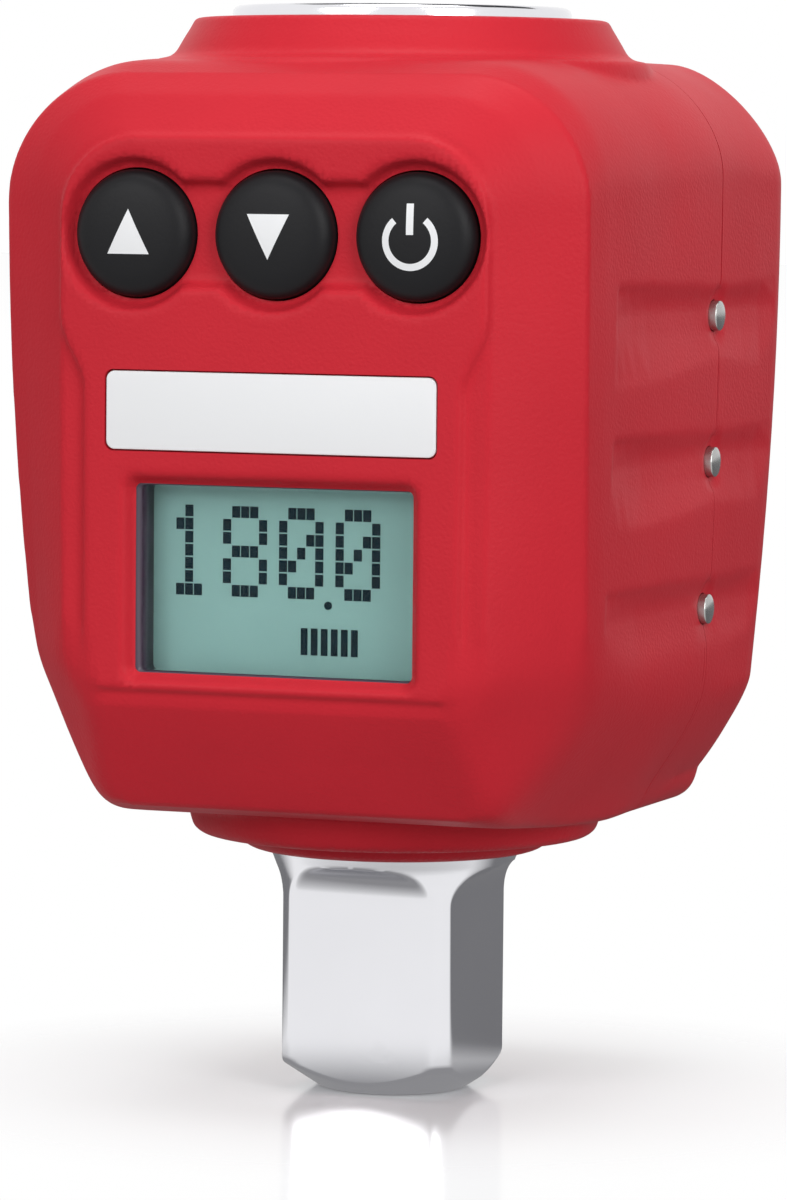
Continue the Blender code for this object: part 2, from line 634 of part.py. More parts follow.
def detent(steel, spring_steel):
    """Ball and spring in the rear flat; the ball's origin is its centre at rest."""
    center_y = DRIVE_SQUARE / 2 + BALL_PROUD - BALL_D / 2
    radius = BALL_D / 2
    profile = [(radius * math.sin(math.pi * i / 10), -radius * math.cos(math.pi * i / 10)) for i in range(11)]
    profile[0], profile[-1] = (0, -radius), (0, radius)
    ball = turned("detent_ball", profile, steel, steps=SMALL_ROUND, axis="Y")
    ball.location = (0, center_y, BALL_Z)
    high = center_y - radius - 0.05 * MM
    low = high - DETENT_SPRING_L + GAP
    coil_r = BALL_D / 2 - DETENT_WIRE / 2 - 0.25 * MM
    helix("detent_spring", (coil_r, coil_r), DETENT_WIRE / 2, low, high, DETENT_TURNS, spring_steel,
          axis="Y", at=(0, 0, BALL_Z), steps=12, sides=6)


def seals(rubber):
    places = (("upper_seal", HEAD_D / 2, upper_seal_z()), ("lower_seal", JOURNAL_D / 2, lower_seal_z()))
    for name, radius, z in places:
        inner, outer = radius - SEAL_T, radius
        half, soft = SEAL_W / 2, 0.25 * SEAL_T
        turned(name, [(inner + soft, z - half), (outer - soft, z - half), (outer, z - half + soft),
                      (outer, z + half - soft), (outer - soft, z + half), (inner + soft, z + half),
                      (inner, z + half - soft), (inner, z - half + soft)], rubber)


def locating_pin(steel):
    start = HEAD_D / 2 - PIN_DEPTH
    chamfer = 0.3 * MM
    radius, end = PIN_D / 2, start + PIN_LENGTH
    turned("locating_pin", [(0, start), (radius - chamfer, start), (radius, start + chamfer),
                            (radius, end - chamfer), (radius - chamfer, end), (0, end)],
           steel, steps=SMALL_ROUND, axis="Y", at=(0, 0, PIN_Z))


# Housing

def spindle_bore_tool(name):
    """Bore for the journal and the head, with the open middle left to the cavity."""
    step = BODY_TOP - 2 * WALL
    return turned(name, [(0, DRIVE_LENGTH - 1 * MM), (LOWER_BORE_R, DRIVE_LENGTH - 1 * MM),
                         (LOWER_BORE_R, BODY_Z + CHIN_RISE + WALL), (UPPER_BORE_R, HEAD_BOTTOM - 3 * MM),
                         (UPPER_BORE_R, step), (UPPER_BORE_R, COLLAR_TOP + 1 * MM), (0, COLLAR_TOP + 1 * MM)])


def body_form(name, mat=None):
    """The whole outer form, with both collars and the grip grooves."""
    body = loft(name, body_rings(), mat)
    join(body, upper_collar(), lower_collar())
    for side, word in ((1, "right"), (-1, "left")):
        for number, z in enumerate(LAMP_Z, 1):
            cut(body, groove_tool(f"groove_{name}_{word}_{number}", z, side))
    return body


def add_lamp_holes(body):
    for side, word in ((1, "right"), (-1, "left")):
        for number, z in enumerate(LAMP_Z, 1):
            cut(body, lamp_tool(f"lamp_hole_{body.name}_{word}_{number}", z, side), solver="MANIFOLD")


def half_space(name, y_low, y_high):
    return block(name, (-40 * MM, y_low, -5 * MM), (40 * MM, y_high, HEAD_TOP + 10 * MM))


def boss(name, x, z, diameter, y_low, y_high):
    return rod(name, diameter / 2, y_low, y_high, axis="Y", at=(x, 0, z))


def screw_places():
    return [(side * SCREW_X, z) for z in SCREW_Z for side in (-1, 1)]


def button_places():
    return {"up": -BUTTON_PITCH, "down": 0.0, "power": BUTTON_PITCH}


def window_tool():
    """Display opening with a sloping frame, and the lens's pocket behind it."""
    levels = ((PANEL_Y - 0.5 * MM, WINDOW_BEVEL * 1.2), (PANEL_Y + 0.15 * MM, WINDOW_BEVEL),
              (PANEL_Y + 0.7 * MM, 0.25 * WINDOW_BEVEL), (LENS_Y + GAP, 0.0))
    rings = []
    for y, grow in levels:
        outline = rounded_rectangle(WINDOW_W / 2 + grow, WINDOW_Z - WINDOW_H / 2 - grow,
                                    WINDOW_Z + WINDOW_H / 2 + grow, 0.5 * MM + grow)
        rings.append([(x, y, z) for x, z in outline])
    opening = loft("window_opening", rings)
    low, high = lens_outline(GAP)
    pocket = block("lens_pocket", (low[0], LENS_Y, low[1]), (high[0], -BODY_FRONT + 3 * WALL, high[1]))
    return join(opening, pocket)


def lens_outline(grow=0.0):
    half_w = WINDOW_W / 2 + LENS_BORDER + grow
    half_h = WINDOW_H / 2 + LENS_BORDER * 0.75 + grow
    return (-half_w, WINDOW_Z - half_h), (half_w, WINDOW_Z + half_h)


def button_recess_tools():
    """Three round dishes joined by a narrower channel, with soft walls, and the buttons' bores."""
    tools = []
    y_out, edge = PANEL_Y - 0.5 * MM, BUTTON_RECESS_EDGE
    for word, x in button_places().items():
        r = BUTTON_RECESS_D / 2
        tools.append(turned(f"button_dish_{word}", [
            (0, y_out), (r + 2 * edge, y_out), (r + edge, PANEL_Y + 0.15 * MM), (r, RECESS_Y - 0.3 * MM),
            (r - 0.2 * MM, RECESS_Y), (0, RECESS_Y)], axis="Y", steps=ROUND, at=(x, 0, BUTTON_Z)))
    half = BUTTON_RECESS_WAIST / 2
    rings = []
    for y, grow in ((y_out, 2 * edge), (PANEL_Y + 0.15 * MM, edge), (RECESS_Y - 0.3 * MM, 0.0),
                    (RECESS_Y - 0.01 * MM, -0.2 * MM)):
        outline = rounded_rectangle(BUTTON_PITCH, BUTTON_Z - half - grow, BUTTON_Z + half + grow, 0.4 * MM)
        rings.append([(x, y, z) for x, z in outline])
    tools.append(loft("button_channel", rings))
    back, bore = -BODY_FRONT + WALL, BUTTON_D / 2 + SLIDE_GAP
    for word, x in button_places().items():
        tools.append(turned(f"button_bore_{word}", [
            (0, RECESS_Y - 1 * MM), (bore, RECESS_Y - 1 * MM), (bore, back), (bore + BUTTON_FLANGE, back),
            (bore + BUTTON_FLANGE, back + 2 * WALL), (0, back + 2 * WALL)], axis="Y", steps=ROUND,
            at=(x, 0, BUTTON_Z)))
    return tools


def label_pocket_tool():
    outline = rounded_rectangle(LABEL_W / 2 + GAP / 2, LABEL_Z - LABEL_H / 2 - GAP / 2,
                                LABEL_Z + LABEL_H / 2 + GAP / 2, LABEL_CORNER)
    return plate("label_pocket", outline, PANEL_Y - 1 * MM, PANEL_Y + LABEL_SINK)


def hollow(name, *kept):
    """Inside of the shell, less the bosses and blocks that stay solid in it."""
    return cut(loft(name, body_rings(WALL)), *kept, solver="MANIFOLD")


def panel_outline(inset=0.0):
    """Raised panel: narrow round the display and label, broad with full corners round the buttons."""
    broad = rounded_rectangle(PANEL_BROAD_HALF_W - inset, PANEL_BOTTOM + inset, PANEL_TOP - inset,
                              PANEL_CORNER - inset, steps=6)
    narrow = rounded_rectangle(PANEL_HALF_W - inset, PANEL_BOTTOM + inset, PANEL_TOP - inset,
                               PANEL_LOWER_CORNER - 0.5 * inset, steps=4)
    upper = [p for p in broad if p[1] > PANEL_FLARE_Z[1]]
    lower = [p for p in narrow if p[1] < PANEL_FLARE_Z[0]]
    low, high = PANEL_FLARE_Z
    flare = []
    for i in range(7):
        t = i / 6
        ease = t * t * (3 - 2 * t)
        half_w = PANEL_HALF_W - inset + (PANEL_BROAD_HALF_W - PANEL_HALF_W) * ease
        flare.append((half_w, low + (high - low) * t))
    return upper + [(-x, z) for x, z in reversed(flare)] + lower + flare


def front_housing(mat):
    """Front shell with its panel, screw bosses and board posts."""
    body = body_form("front_housing", mat)
    soft = 0.3 * PANEL_RAISE
    rings = [[(x, y, z) for x, z in panel_outline(inset)] for y, inset in
             ((PANEL_Y, soft), (PANEL_Y + soft, 0.0), (-BODY_FRONT + 0.6 * WALL, 0.0))]
    join(body, loft("panel_form", rings))
    outside = -BODY_FRONT - WALL
    kept = [boss(f"front_boss_{number}", x, z, BOSS_D, outside, SEAM_Y - 2 * MM)
            for number, (x, z) in enumerate(screw_places(), 1)]
    kept += [boss(f"board_post_{word}", side * PCB_SCREW_X, PCB_SCREW_Z, PCB_BOSS_D, outside,
                  PCB_FRONT_Y - GAP)
             for side, word in ((-1, "left"), (1, "right"))]
    cut(body, hollow("front_hollow", *kept), spindle_bore_tool("front_bore"))
    cut(body, half_space("front_trim", SEAM_Y - SEAM_GAP / 2, 60 * MM), solver="MANIFOLD")
    for side, word in ((-1, "left"), (1, "right")):
        cut(body, boss(f"board_post_hole_{word}", side * PCB_SCREW_X, PCB_SCREW_Z, PCB_SCREW_D + 0.3 * MM,
                       PCB_BACK_Y - PCB_SCREW_LENGTH - 0.5 * MM, PCB_FRONT_Y), solver="MANIFOLD")
    for number, (x, z) in enumerate(screw_places(), 1):
        cut(body, boss(f"front_boss_hole_{number}", x, z, SCREW_D + 0.4 * MM,
                       SCREW_SEAT_Y - SCREW_LENGTH - 1.5 * MM, SEAM_Y + 1 * MM), solver="MANIFOLD")
    cut(body, window_tool(), label_pocket_tool(), *button_recess_tools(), solver="MANIFOLD")
    add_lamp_holes(body)
    return body


def rear_housing(mat):
    """Rear shell with the cells' bay, the cover's seat and the pin's slot."""
    body = body_form("rear_housing", mat)
    bay_half = CELL_X + BAY_R + BAY_WALL
    kept = [block("bay_block", (-bay_half, CELL_Y - BAY_R - BAY_WALL, BAY_BOTTOM - BAY_WALL),
                  (bay_half, BODY_REAR + 5 * MM, BAY_TOP + BAY_WALL))]
    kept += [boss(f"rear_boss_{number}", x, z, BOSS_D, SEAM_Y - 4 * MM, BODY_REAR + 4 * MM)
             for number, (x, z) in enumerate(screw_places(), 1)]
    cut(body, hollow("rear_hollow", *kept), spindle_bore_tool("rear_bore"))
    cut(body, half_space("rear_trim", -60 * MM, SEAM_Y + SEAM_GAP / 2), solver="MANIFOLD")
    for side, word in ((-1, "left"), (1, "right")):
        x = side * CELL_X
        bay = rod(f"cell_bay_{word}", BAY_R, BAY_BOTTOM, BAY_TOP, steps=ROUND, at=(x, CELL_Y, 0))
        mouth = block(f"cell_mouth_{word}", (x - BAY_R + 0.02 * MM, CELL_Y, COVER_Z[0] + COVER_LEDGE),
                      (x + BAY_R - 0.02 * MM, BODY_REAR + 1 * MM, COVER_Z[1] - COVER_LEDGE))
        cut(body, join(bay, mouth), solver="MANIFOLD")
    cut(body, cover_seat_tool(), rib_form("rib_groove", GAP), bridge_slot_tool(), solver="MANIFOLD")
    slot = PIN_D / 2 + GAP
    cut(body, block("pin_slot", (-slot, SEAM_Y - 1 * MM, PIN_Z - slot),
                    (slot, HEAD_D / 2 - PIN_DEPTH + PIN_LENGTH + GAP, PIN_Z + slot)), solver="MANIFOLD")
    for number, (x, z) in enumerate(screw_places(), 1):
        cut(body, boss(f"rear_boss_hole_{number}", x, z, SCREW_D + 0.6 * MM, SEAM_Y - 2 * MM,
                       SCREW_SEAT_Y + 1 * MM),
            boss(f"screw_sink_{number}", x, z, SCREW_HEAD_D + 2 * GAP, SCREW_SEAT_Y, BODY_REAR + 5 * MM),
            solver="MANIFOLD")
    add_lamp_holes(body)
    return body


def bridge_slot_tool():
    """Passage between the two bays for the bridge plate."""
    half = CONTACT_W / 2 + GAP + 0.6 * MM
    return block("bridge_slot", (-CELL_X, CELL_Y - half, BAY_BOTTOM),
                 (CELL_X, CELL_Y + half, BAY_BOTTOM + CONTACT_T + 2 * GAP))


def cover_outline(grow=0.0):
    return rounded_rectangle(COVER_HALF_W + grow, COVER_Z[0] - grow, COVER_Z[1] + grow, 2.0 * MM + grow)


def cover_seat_tool():
    return plate("cover_seat", cover_outline(GAP), COVER_INNER_Y - GAP, BODY_REAR + 5 * MM)


def rib_form(name, grow):
    """Rib behind the cover that drops between the cells; grown, it cuts its own groove."""
    half = COVER_RIB_W / 2 + grow
    return block(name, (-half, COVER_INNER_Y - COVER_RIB_DEPTH - grow, BAY_BOTTOM + COVER_RIB_END - grow),
                 (half, COVER_INNER_Y + 0.3 * COVER_T, BAY_TOP - COVER_RIB_END + grow))


def battery_cover(mat):
    """Rear cover that follows the body's form, with grip ribs outside and a locating rib behind."""
    cover = loft("battery_cover", body_rings(), mat)
    boolean(cover, plate("cover_trim", cover_outline(), COVER_INNER_Y, BODY_REAR + 3 * MM), "INTERSECT")
    for i in range(COVER_GRIP_RIBS):
        z = BAY_BOTTOM + 4 * MM + i * COVER_GRIP_PITCH
        join(cover, rod(f"grip_rib_{i}", COVER_GRIP_R, -5 * MM, 5 * MM, axis="X", steps=12,
                        at=(0, BODY_REAR, z)))
    return join(cover, rib_form("cover_rib", 0.0))


# Front pieces

def display_window(mat):
    low, high = lens_outline()
    return block("display_window", (low[0], LENS_Y + GAP, low[1]), (high[0], LENS_Y + GAP + LENS_T, high[1]),
                 mat, bevel=0.1 * MM)


def label_plate(mat):
    outline = rounded_rectangle(LABEL_W / 2, LABEL_Z - LABEL_H / 2, LABEL_Z + LABEL_H / 2, LABEL_CORNER)
    front = PANEL_Y + LABEL_SINK - GAP / 2 - LABEL_T
    return plate("label_plate", outline, front, front + LABEL_T, mat)


def button_stem_end():
    """Back of a button's stem at rest, one travel and a little more above its switch's key."""
    return PCB_FRONT_Y - 0.1 * MM - SWITCH_H - SWITCH_KEY_H - BUTTON_TRAVEL - KEY_GAP


def buttons(mat):
    """Domed caps that slide in the panel's bores; a flange behind the wall keeps each one in."""
    wall_back = -BODY_FRONT + WALL
    r = BUTTON_D / 2
    crown = PANEL_Y - BUTTON_PROUD
    flange_front = wall_back + GAP
    for word, x in button_places().items():
        profile = [(0, crown), (0.45 * r, crown + 0.08 * BUTTON_DOME), (0.72 * r, crown + 0.27 * BUTTON_DOME),
                   (0.88 * r, crown + 0.58 * BUTTON_DOME), (0.965 * r, crown + BUTTON_DOME),
                   (r, crown + 1.35 * BUTTON_DOME), (r, flange_front), (r + BUTTON_FLANGE, flange_front),
                   (r + BUTTON_FLANGE, flange_front + BUTTON_FLANGE_T),
                   (SWITCH_KEY_D / 2, flange_front + BUTTON_FLANGE_T),
                   (SWITCH_KEY_D / 2, button_stem_end()), (0, button_stem_end())]
        cap = turned(f"button_{word}", profile, mat, steps=40, axis="Y")
        cap.location = (x, 0, BUTTON_Z)


def key_switches(case):
    """A square switch with its round key, one behind each button."""
    half, chamfer = SWITCH_W / 2, 0.4 * MM
    for word, x in button_places().items():
        outline = rounded_rectangle(half, BUTTON_Z - half, BUTTON_Z + half, chamfer, steps=1, center_x=0)
        outline = [(px + x, pz) for px, pz in outline]
        back = PCB_FRONT_Y - 0.1 * MM
        switch = plate(f"key_switch_{word}", outline, back - SWITCH_H, back, case)
        join(switch, rod(f"switch_key_{word}", SWITCH_KEY_D / 2, back - SWITCH_H - SWITCH_KEY_H,
                         back - 0.5 * SWITCH_H,
                         axis="Y", at=(x, 0, BUTTON_Z)))


def lcd_outline(grow=0.0):
    half_w = WINDOW_W / 2 + LCD_BORDER + grow
    half_h = WINDOW_H / 2 + LCD_BORDER + grow
    corner = max(0.3 * MM + grow, 0.1 * MM)
    return rounded_rectangle(half_w, WINDOW_Z - half_h, WINDOW_Z + half_h, corner, steps=2)


def display_stack(glass, frame, rubber):
    """Glass cell in its holder, with the two contact strips that carry its signals to the board."""
    plate("lcd_glass", lcd_outline(), LCD_FRONT_Y, LCD_FRONT_Y + LCD_T, glass)
    back = PCB_FRONT_Y - GAP
    holder = plate("lcd_holder", lcd_outline(LCD_HOLDER_WALL), LCD_FRONT_Y + 0.3 * MM, back, frame)
    cut(holder, plate("lcd_pocket", lcd_outline(GAP), LCD_FRONT_Y - 1 * MM, LCD_FRONT_Y + LCD_T + GAP),
        plate("lcd_through", lcd_outline(-0.6 * MM), LCD_FRONT_Y - 1 * MM, back + 1 * MM))
    reach = WINDOW_W / 2 - 1 * MM
    for word, side in (("top", 1), ("bottom", -1)):
        z = WINDOW_Z + side * (WINDOW_H / 2 - 0.2 * MM)
        block(f"contact_strip_{word}", (-reach, LCD_FRONT_Y + LCD_T + GAP / 2, z - ZEBRA_T / 2),
              (reach, PCB_FRONT_Y - GAP / 2, z + ZEBRA_T / 2), rubber)


def main_board(green, dark, brass):
    """Board with the display and switches in front and the chip, sounder and plug behind."""
    outline = rounded_rectangle(PCB_HALF_W, PCB_BOTTOM, PCB_TOP, 1.5 * MM, steps=3)
    board = plate("main_board", outline, PCB_FRONT_Y, PCB_BACK_Y, green)
    for side, word in ((-1, "left"), (1, "right")):
        cut(board, boss(f"board_hole_{word}", side * PCB_SCREW_X, PCB_SCREW_Z, PCB_SCREW_D + 2 * GAP,
                        PCB_FRONT_Y - 1 * MM, PCB_BACK_Y + 1 * MM))
    rear = PCB_BACK_Y + 0.1 * MM
    half = CHIP_W / 2
    block("controller_chip", (CHIP_X - half, rear, CHIP_Z - half),
          (CHIP_X + half, rear + CHIP_T, CHIP_Z + half), dark,
          bevel=0.15 * MM)
    r = BUZZER_D / 2
    turned("sounder", [(0, rear), (r, rear), (r, rear + BUZZER_T - 0.3 * MM), (r - 0.3 * MM, rear + BUZZER_T),
                       (0.9 * MM, rear + BUZZER_T), (0.9 * MM, rear + BUZZER_T - 0.8 * MM),
                       (0, rear + BUZZER_T - 0.8 * MM)], dark, steps=28, axis="Y", at=(BUZZER_X, 0, BUZZER_Z))
    half = PLUG_W / 2
    plug = block("gauge_socket", (-half, rear, PLUG_Z - PLUG_H / 2),
                 (half, rear + PLUG_T, PLUG_Z + PLUG_H / 2), brass,
                 bevel=0.15 * MM)
    return plug


def board_screws(steel):
    """Two small pan-head screws that hold the board to the front shell's posts."""
    r, head = PCB_SCREW_D / 2, PCB_SCREW_HEAD_D / 2
    seat = PCB_BACK_Y + GAP / 2
    for number, side in enumerate((-1, 1), 1):
        profile = [(0, seat - PCB_SCREW_LENGTH), (0.5 * r, seat - PCB_SCREW_LENGTH),
                   (r, seat - PCB_SCREW_LENGTH + 0.6 * MM), (r, seat), (head, seat),
                   (head, seat + 0.5 * PCB_SCREW_HEAD_H), (0.7 * head, seat + PCB_SCREW_HEAD_H),
                   (0, seat + PCB_SCREW_HEAD_H)]
        screw = turned(f"board_screw_{number}", profile, steel, axis="Y", steps=16,
                       at=(side * PCB_SCREW_X, 0, PCB_SCREW_Z))
        cut(screw, *cross_tool(f"board_cross_{number}", side * PCB_SCREW_X, seat + PCB_SCREW_HEAD_H, PCB_SCREW_Z,
                               1.1 * head, 0.35 * MM))


def cross_tool(name, x, y, z, reach, width):
    """Two crossing slots for a screwdriver, open towards the rear."""
    half = width / 2
    return [block(f"{name}_a", (x - reach / 2, y - 2 * width, z - half), (x + reach / 2, y + 1 * MM, z + half)),
            block(f"{name}_b", (x - half, y - 2 * width, z - reach / 2), (x + half, y + 1 * MM, z + reach / 2))]


# Side lamps

def lamps(clear, green):
    """Three round lamps on a narrow board along each side, on the housing's seam."""
    tip_r = LAMP_D / 2
    boards = {}
    for side, word in ((1, "right"), (-1, "left")):
        for number, z in enumerate(LAMP_Z, 1):
            tip = side_x(z) - LAMP_SINK
            base = side_x(LAMP_Z[-1]) - WALL - 0.9 * MM
            profile = [(0, base), (tip_r, base), (tip_r, tip - 0.7 * tip_r),
                       (0.87 * tip_r, tip - 0.33 * tip_r), (0.5 * tip_r, tip - 0.08 * tip_r), (0, tip)]
            lamp = turned(f"lamp_{word}_{number}", profile, clear, axis="X", steps=16, at=(0, SEAM_Y, z))
            boards[side] = base
            if side < 0:
                lamp.data.transform(Matrix.Scale(-1, 4, (1, 0, 0)))
                lamp.data.flip_normals()
        inner, outer = boards[side] - GAP - LAMP_BOARD_T, boards[side] - GAP
        half = LAMP_BOARD_W / 2
        xs = sorted((side * inner, side * outer))
        block(f"lamp_board_{word}", (xs[0], SEAM_Y - half, LAMP_Z[-1] - 1.1 * MM),
              (xs[1], SEAM_Y + half, LAMP_Z[0] + 2 * MM), green)


# Strain gauges

def gauges(foil, lead):
    """Foil gauges on the neck's front and rear, and the flat lead from the front one to the board."""
    neck = NECK_D / 2
    for word, side in (("front", -1), ("rear", 1)):
        rings = []
        for z in (GAUGE_Z - GAUGE_H / 2, GAUGE_Z + GAUGE_H / 2):
            ring = []
            for radius, order in ((neck + 0.2 * MM, 1), (neck + 0.2 * MM + GAUGE_T, -1)):
                for i in range(7):
                    turn = order * (i / 6 - 0.5) * GAUGE_W / neck
                    ring.append((radius * math.sin(turn), side * radius * math.cos(turn), z))
            rings.append(ring)
        loft(f"strain_gauge_{word}", rings, foil)
    start = Vector((-neck - 0.2 * MM - GAUGE_T - GAP, PLUG_Z - 1.5 * MM, 0)).xy
    end = Vector((PCB_BACK_Y + PLUG_T + GAP, PLUG_Z, 0)).xy
    rings = []
    steps = 10
    for i in range(steps + 1):
        t = i / steps
        sway = 1.2 * MM * math.sin(2 * math.pi * t)
        y = start.x + (end.x - start.x) * t
        z = start.y + (end.y - start.y) * t + sway
        rings.append([(-RIBBON_W / 2, y, z - RIBBON_T / 2), (RIBBON_W / 2, y, z - RIBBON_T / 2),
                      (RIBBON_W / 2, y, z + RIBBON_T / 2), (-RIBBON_W / 2, y, z + RIBBON_T / 2)])
    loft("gauge_lead", rings, lead)


# Cells and contacts

def cells(jacket, steel):
    """Two AAA cells in series, one each way up, with their springs and contact plates."""
    r, nub = CELL_D / 2, CELL_NUB_D / 2
    for word, side, up in (("left", -1, True), ("right", 1, False)):
        x = side * CELL_X
        bottom = CONTACT_LEVEL + (CELL_SPRING_H if up else 0.0)
        profile = [(0, 0), (r - 0.7 * MM, 0), (r - 0.2 * MM, 0.15 * MM), (r, 0.5 * MM),
                   (r, CELL_LENGTH - 0.5 * MM),
                   (r - 0.2 * MM, CELL_LENGTH - 0.15 * MM), (r - 0.8 * MM, CELL_LENGTH), (nub, CELL_LENGTH),
                   (nub, CELL_LENGTH + CELL_NUB_H - 0.2 * MM), (nub - 0.2 * MM, CELL_LENGTH + CELL_NUB_H),
                   (0, CELL_LENGTH + CELL_NUB_H)]
        if not up:
            profile = [(radius, CELL_FULL - z) for radius, z in reversed(profile)]
        turned(f"cell_{word}", profile, jacket, steps=32, at=(x, CELL_Y, bottom))
        low = CONTACT_LEVEL - GAP / 2
        high = BAY_TOP - CONTACT_T - 1.5 * GAP
        spring = (low, bottom - GAP / 2) if up else (bottom + CELL_FULL + GAP / 2, high)
        wide, narrow = CELL_SPRING_D / 2, 0.2 * CELL_SPRING_D
        helix(f"cell_spring_{word}", (wide, narrow) if up else (narrow, wide), CELL_WIRE / 2, *spring, CELL_TURNS,
              steel, at=(x, CELL_Y, 0), steps=16, sides=6)
        half = CONTACT_W / 2
        plate_z = BAY_TOP - GAP - CONTACT_T
        block(f"contact_plate_{word}", (x - half, CELL_Y - half, plate_z),
              (x + half, CELL_Y + half, plate_z + CONTACT_T),
              steel)
    reach = CELL_X + CONTACT_W / 2
    z = BAY_BOTTOM + GAP
    outline = [(-reach, CELL_Y - CONTACT_W / 2), (reach, CELL_Y - CONTACT_W / 2), (reach, CELL_Y + CONTACT_W / 2),
               (CELL_X - 2 * MM, CELL_Y + CONTACT_W / 2 + 0.6 * MM),
               (-CELL_X + 2 * MM, CELL_Y + CONTACT_W / 2 + 0.6 * MM),
               (-reach, CELL_Y + CONTACT_W / 2)]
    loft("bridge_plate", [[(px, py, height) for px, py in outline] for height in (z, z + CONTACT_T)], steel)


# Fasteners

def housing_screws(steel):
    """Four pan-head screws from the rear, through the rear shell into the front shell's bosses."""
    r, head = SCREW_D / 2, SCREW_HEAD_D / 2
    seat = SCREW_SEAT_Y + GAP / 2
    for number, (x, z) in enumerate(screw_places(), 1):
        start = seat - SCREW_LENGTH
        profile = [(0, start), (0.35 * r, start), (r, start + 1.2 * MM), (r, seat), (head, seat),
                   (head, seat + 0.4 * SCREW_HEAD_H), (0.85 * head, seat + 0.8 * SCREW_HEAD_H),
                   (0.5 * head, seat + SCREW_HEAD_H), (0, seat + SCREW_HEAD_H)]
        screw = turned(f"housing_screw_{number}", profile, steel, axis="Y", steps=16, at=(x, 0, z))
        cut(screw, *cross_tool(f"screw_cross_{number}", x, seat + SCREW_HEAD_H, z, 1.2 * head, 0.45 * MM))


def build():
    red = material("red_moulding", (0.60, 0.022, 0.036), 0.42)
    steel = material("polished_chrome_steel", (0.72, 0.72, 0.74), 0.14, 1.0)
    bright = material("bright_steel", (0.62, 0.62, 0.63), 0.3, 1.0)
    black = material("black_rubber", (0.018, 0.018, 0.02), 0.5)
    dark = material("dark_moulding", (0.04, 0.04, 0.045), 0.5)
    white = material("white_label", (0.83, 0.84, 0.84), 0.35)
    clear = material("clear_lens", (0.85, 0.9, 0.9), 0.05)
    glass = material("display_glass", (0.30, 0.42, 0.40), 0.2)
    green = material("board_green", (0.02, 0.16, 0.07), 0.45)
    foil = material("gauge_foil", (0.55, 0.33, 0.12), 0.4)
    jacket = material("cell_jacket", (0.05, 0.05, 0.06), 0.35)
    cream = material("plug_cream", (0.75, 0.72, 0.62), 0.5)

    drive_body(steel)
    detent(bright, bright)
    seals(black)
    locating_pin(bright)
    front_housing(red)
    rear_housing(red)
    battery_cover(red)
    display_window(clear)
    label_plate(white)
    buttons(black)
    key_switches(dark)
    display_stack(glass, dark, black)
    main_board(green, dark, cream)
    board_screws(bright)
    lamps(clear, green)
    gauges(foil, foil)
    cells(jacket, bright)
    housing_screws(bright)


for old in list(bpy.data.objects):
    bpy.data.objects.remove(old, do_unlink=True)
build()
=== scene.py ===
# Looks of a digital torque adapter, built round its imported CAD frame. Metres; +Z is the drive axis, the
# display looks along -Y, and the origin is the centre of the male square's end face.

import math

import bmesh
import bpy
import numpy as np
from mathutils import Matrix, Vector
from mathutils.bvhtree import BVHTree


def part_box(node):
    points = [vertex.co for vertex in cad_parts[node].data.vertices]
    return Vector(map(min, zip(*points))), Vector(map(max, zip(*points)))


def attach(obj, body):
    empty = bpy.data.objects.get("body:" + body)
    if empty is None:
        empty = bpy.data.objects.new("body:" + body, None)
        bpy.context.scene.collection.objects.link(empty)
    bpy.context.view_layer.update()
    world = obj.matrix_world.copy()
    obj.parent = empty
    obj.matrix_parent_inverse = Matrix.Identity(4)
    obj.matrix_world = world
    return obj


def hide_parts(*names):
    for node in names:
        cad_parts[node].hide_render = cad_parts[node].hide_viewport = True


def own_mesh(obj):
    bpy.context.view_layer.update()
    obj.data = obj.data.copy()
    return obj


MM = 0.001

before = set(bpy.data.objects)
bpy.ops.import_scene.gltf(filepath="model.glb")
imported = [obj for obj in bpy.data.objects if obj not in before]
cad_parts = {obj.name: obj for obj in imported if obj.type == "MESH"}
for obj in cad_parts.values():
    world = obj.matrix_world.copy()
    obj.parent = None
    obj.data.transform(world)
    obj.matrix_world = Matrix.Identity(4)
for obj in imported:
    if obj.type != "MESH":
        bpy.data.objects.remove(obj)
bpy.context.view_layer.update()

# Body form
BODY_Z, BODY_TOP = 19.3 * MM, 72.0 * MM
BODY_FRONT, BODY_REAR = -23.4 * MM, 23.7 * MM
SEAM_Y = 6.5 * MM
REAR_CORNER = 5.0 * MM
SIDE_DRAW, SIDE_DRAW_H = 1.6, 31.6     # how far the sides curve in downwards over a height, both in mm
COLLAR_TOP = 74.75 * MM
HEAD_TOP = 75.6 * MM
HEAD_R = 11.8 * MM
WALL = 2.0 * MM

# Front panel
PANEL_Y = -23.9 * MM
PANEL_HALF_W, PANEL_BROAD_HALF_W = 13.5 * MM, 15.3 * MM
PANEL_FLARE_Z = (49.5 * MM, 54.5 * MM)
PANEL_BOTTOM, PANEL_TOP = 29.4 * MM, 66.6 * MM
WINDOW_W, WINDOW_H, WINDOW_Z = 19.9 * MM, 12.7 * MM, 36.95 * MM
LABEL_W, LABEL_H, LABEL_Z = 23.6 * MM, 5.25 * MM, 48.2 * MM
LENS_Y = PANEL_Y + 1.3 * MM
LCD_Y = -20.4 * MM

# Buttons and lamps
BUTTON_X = {"up": -10.04 * MM, "down": 0.0, "power": 10.04 * MM}
BUTTON_Z, BUTTON_R = 60.0 * MM, 4.25 * MM
RECESS_R, RECESS_WAIST, RECESS_DEPTH = 4.8 * MM, 3.3 * MM, 1.1 * MM
LAMP_Z = (54.4 * MM, 44.2 * MM, 33.9 * MM)
LAMP_R = 1.05 * MM
GROOVE_DEPTH = 0.4 * MM
LAMP_RISE = 0.18 * MM

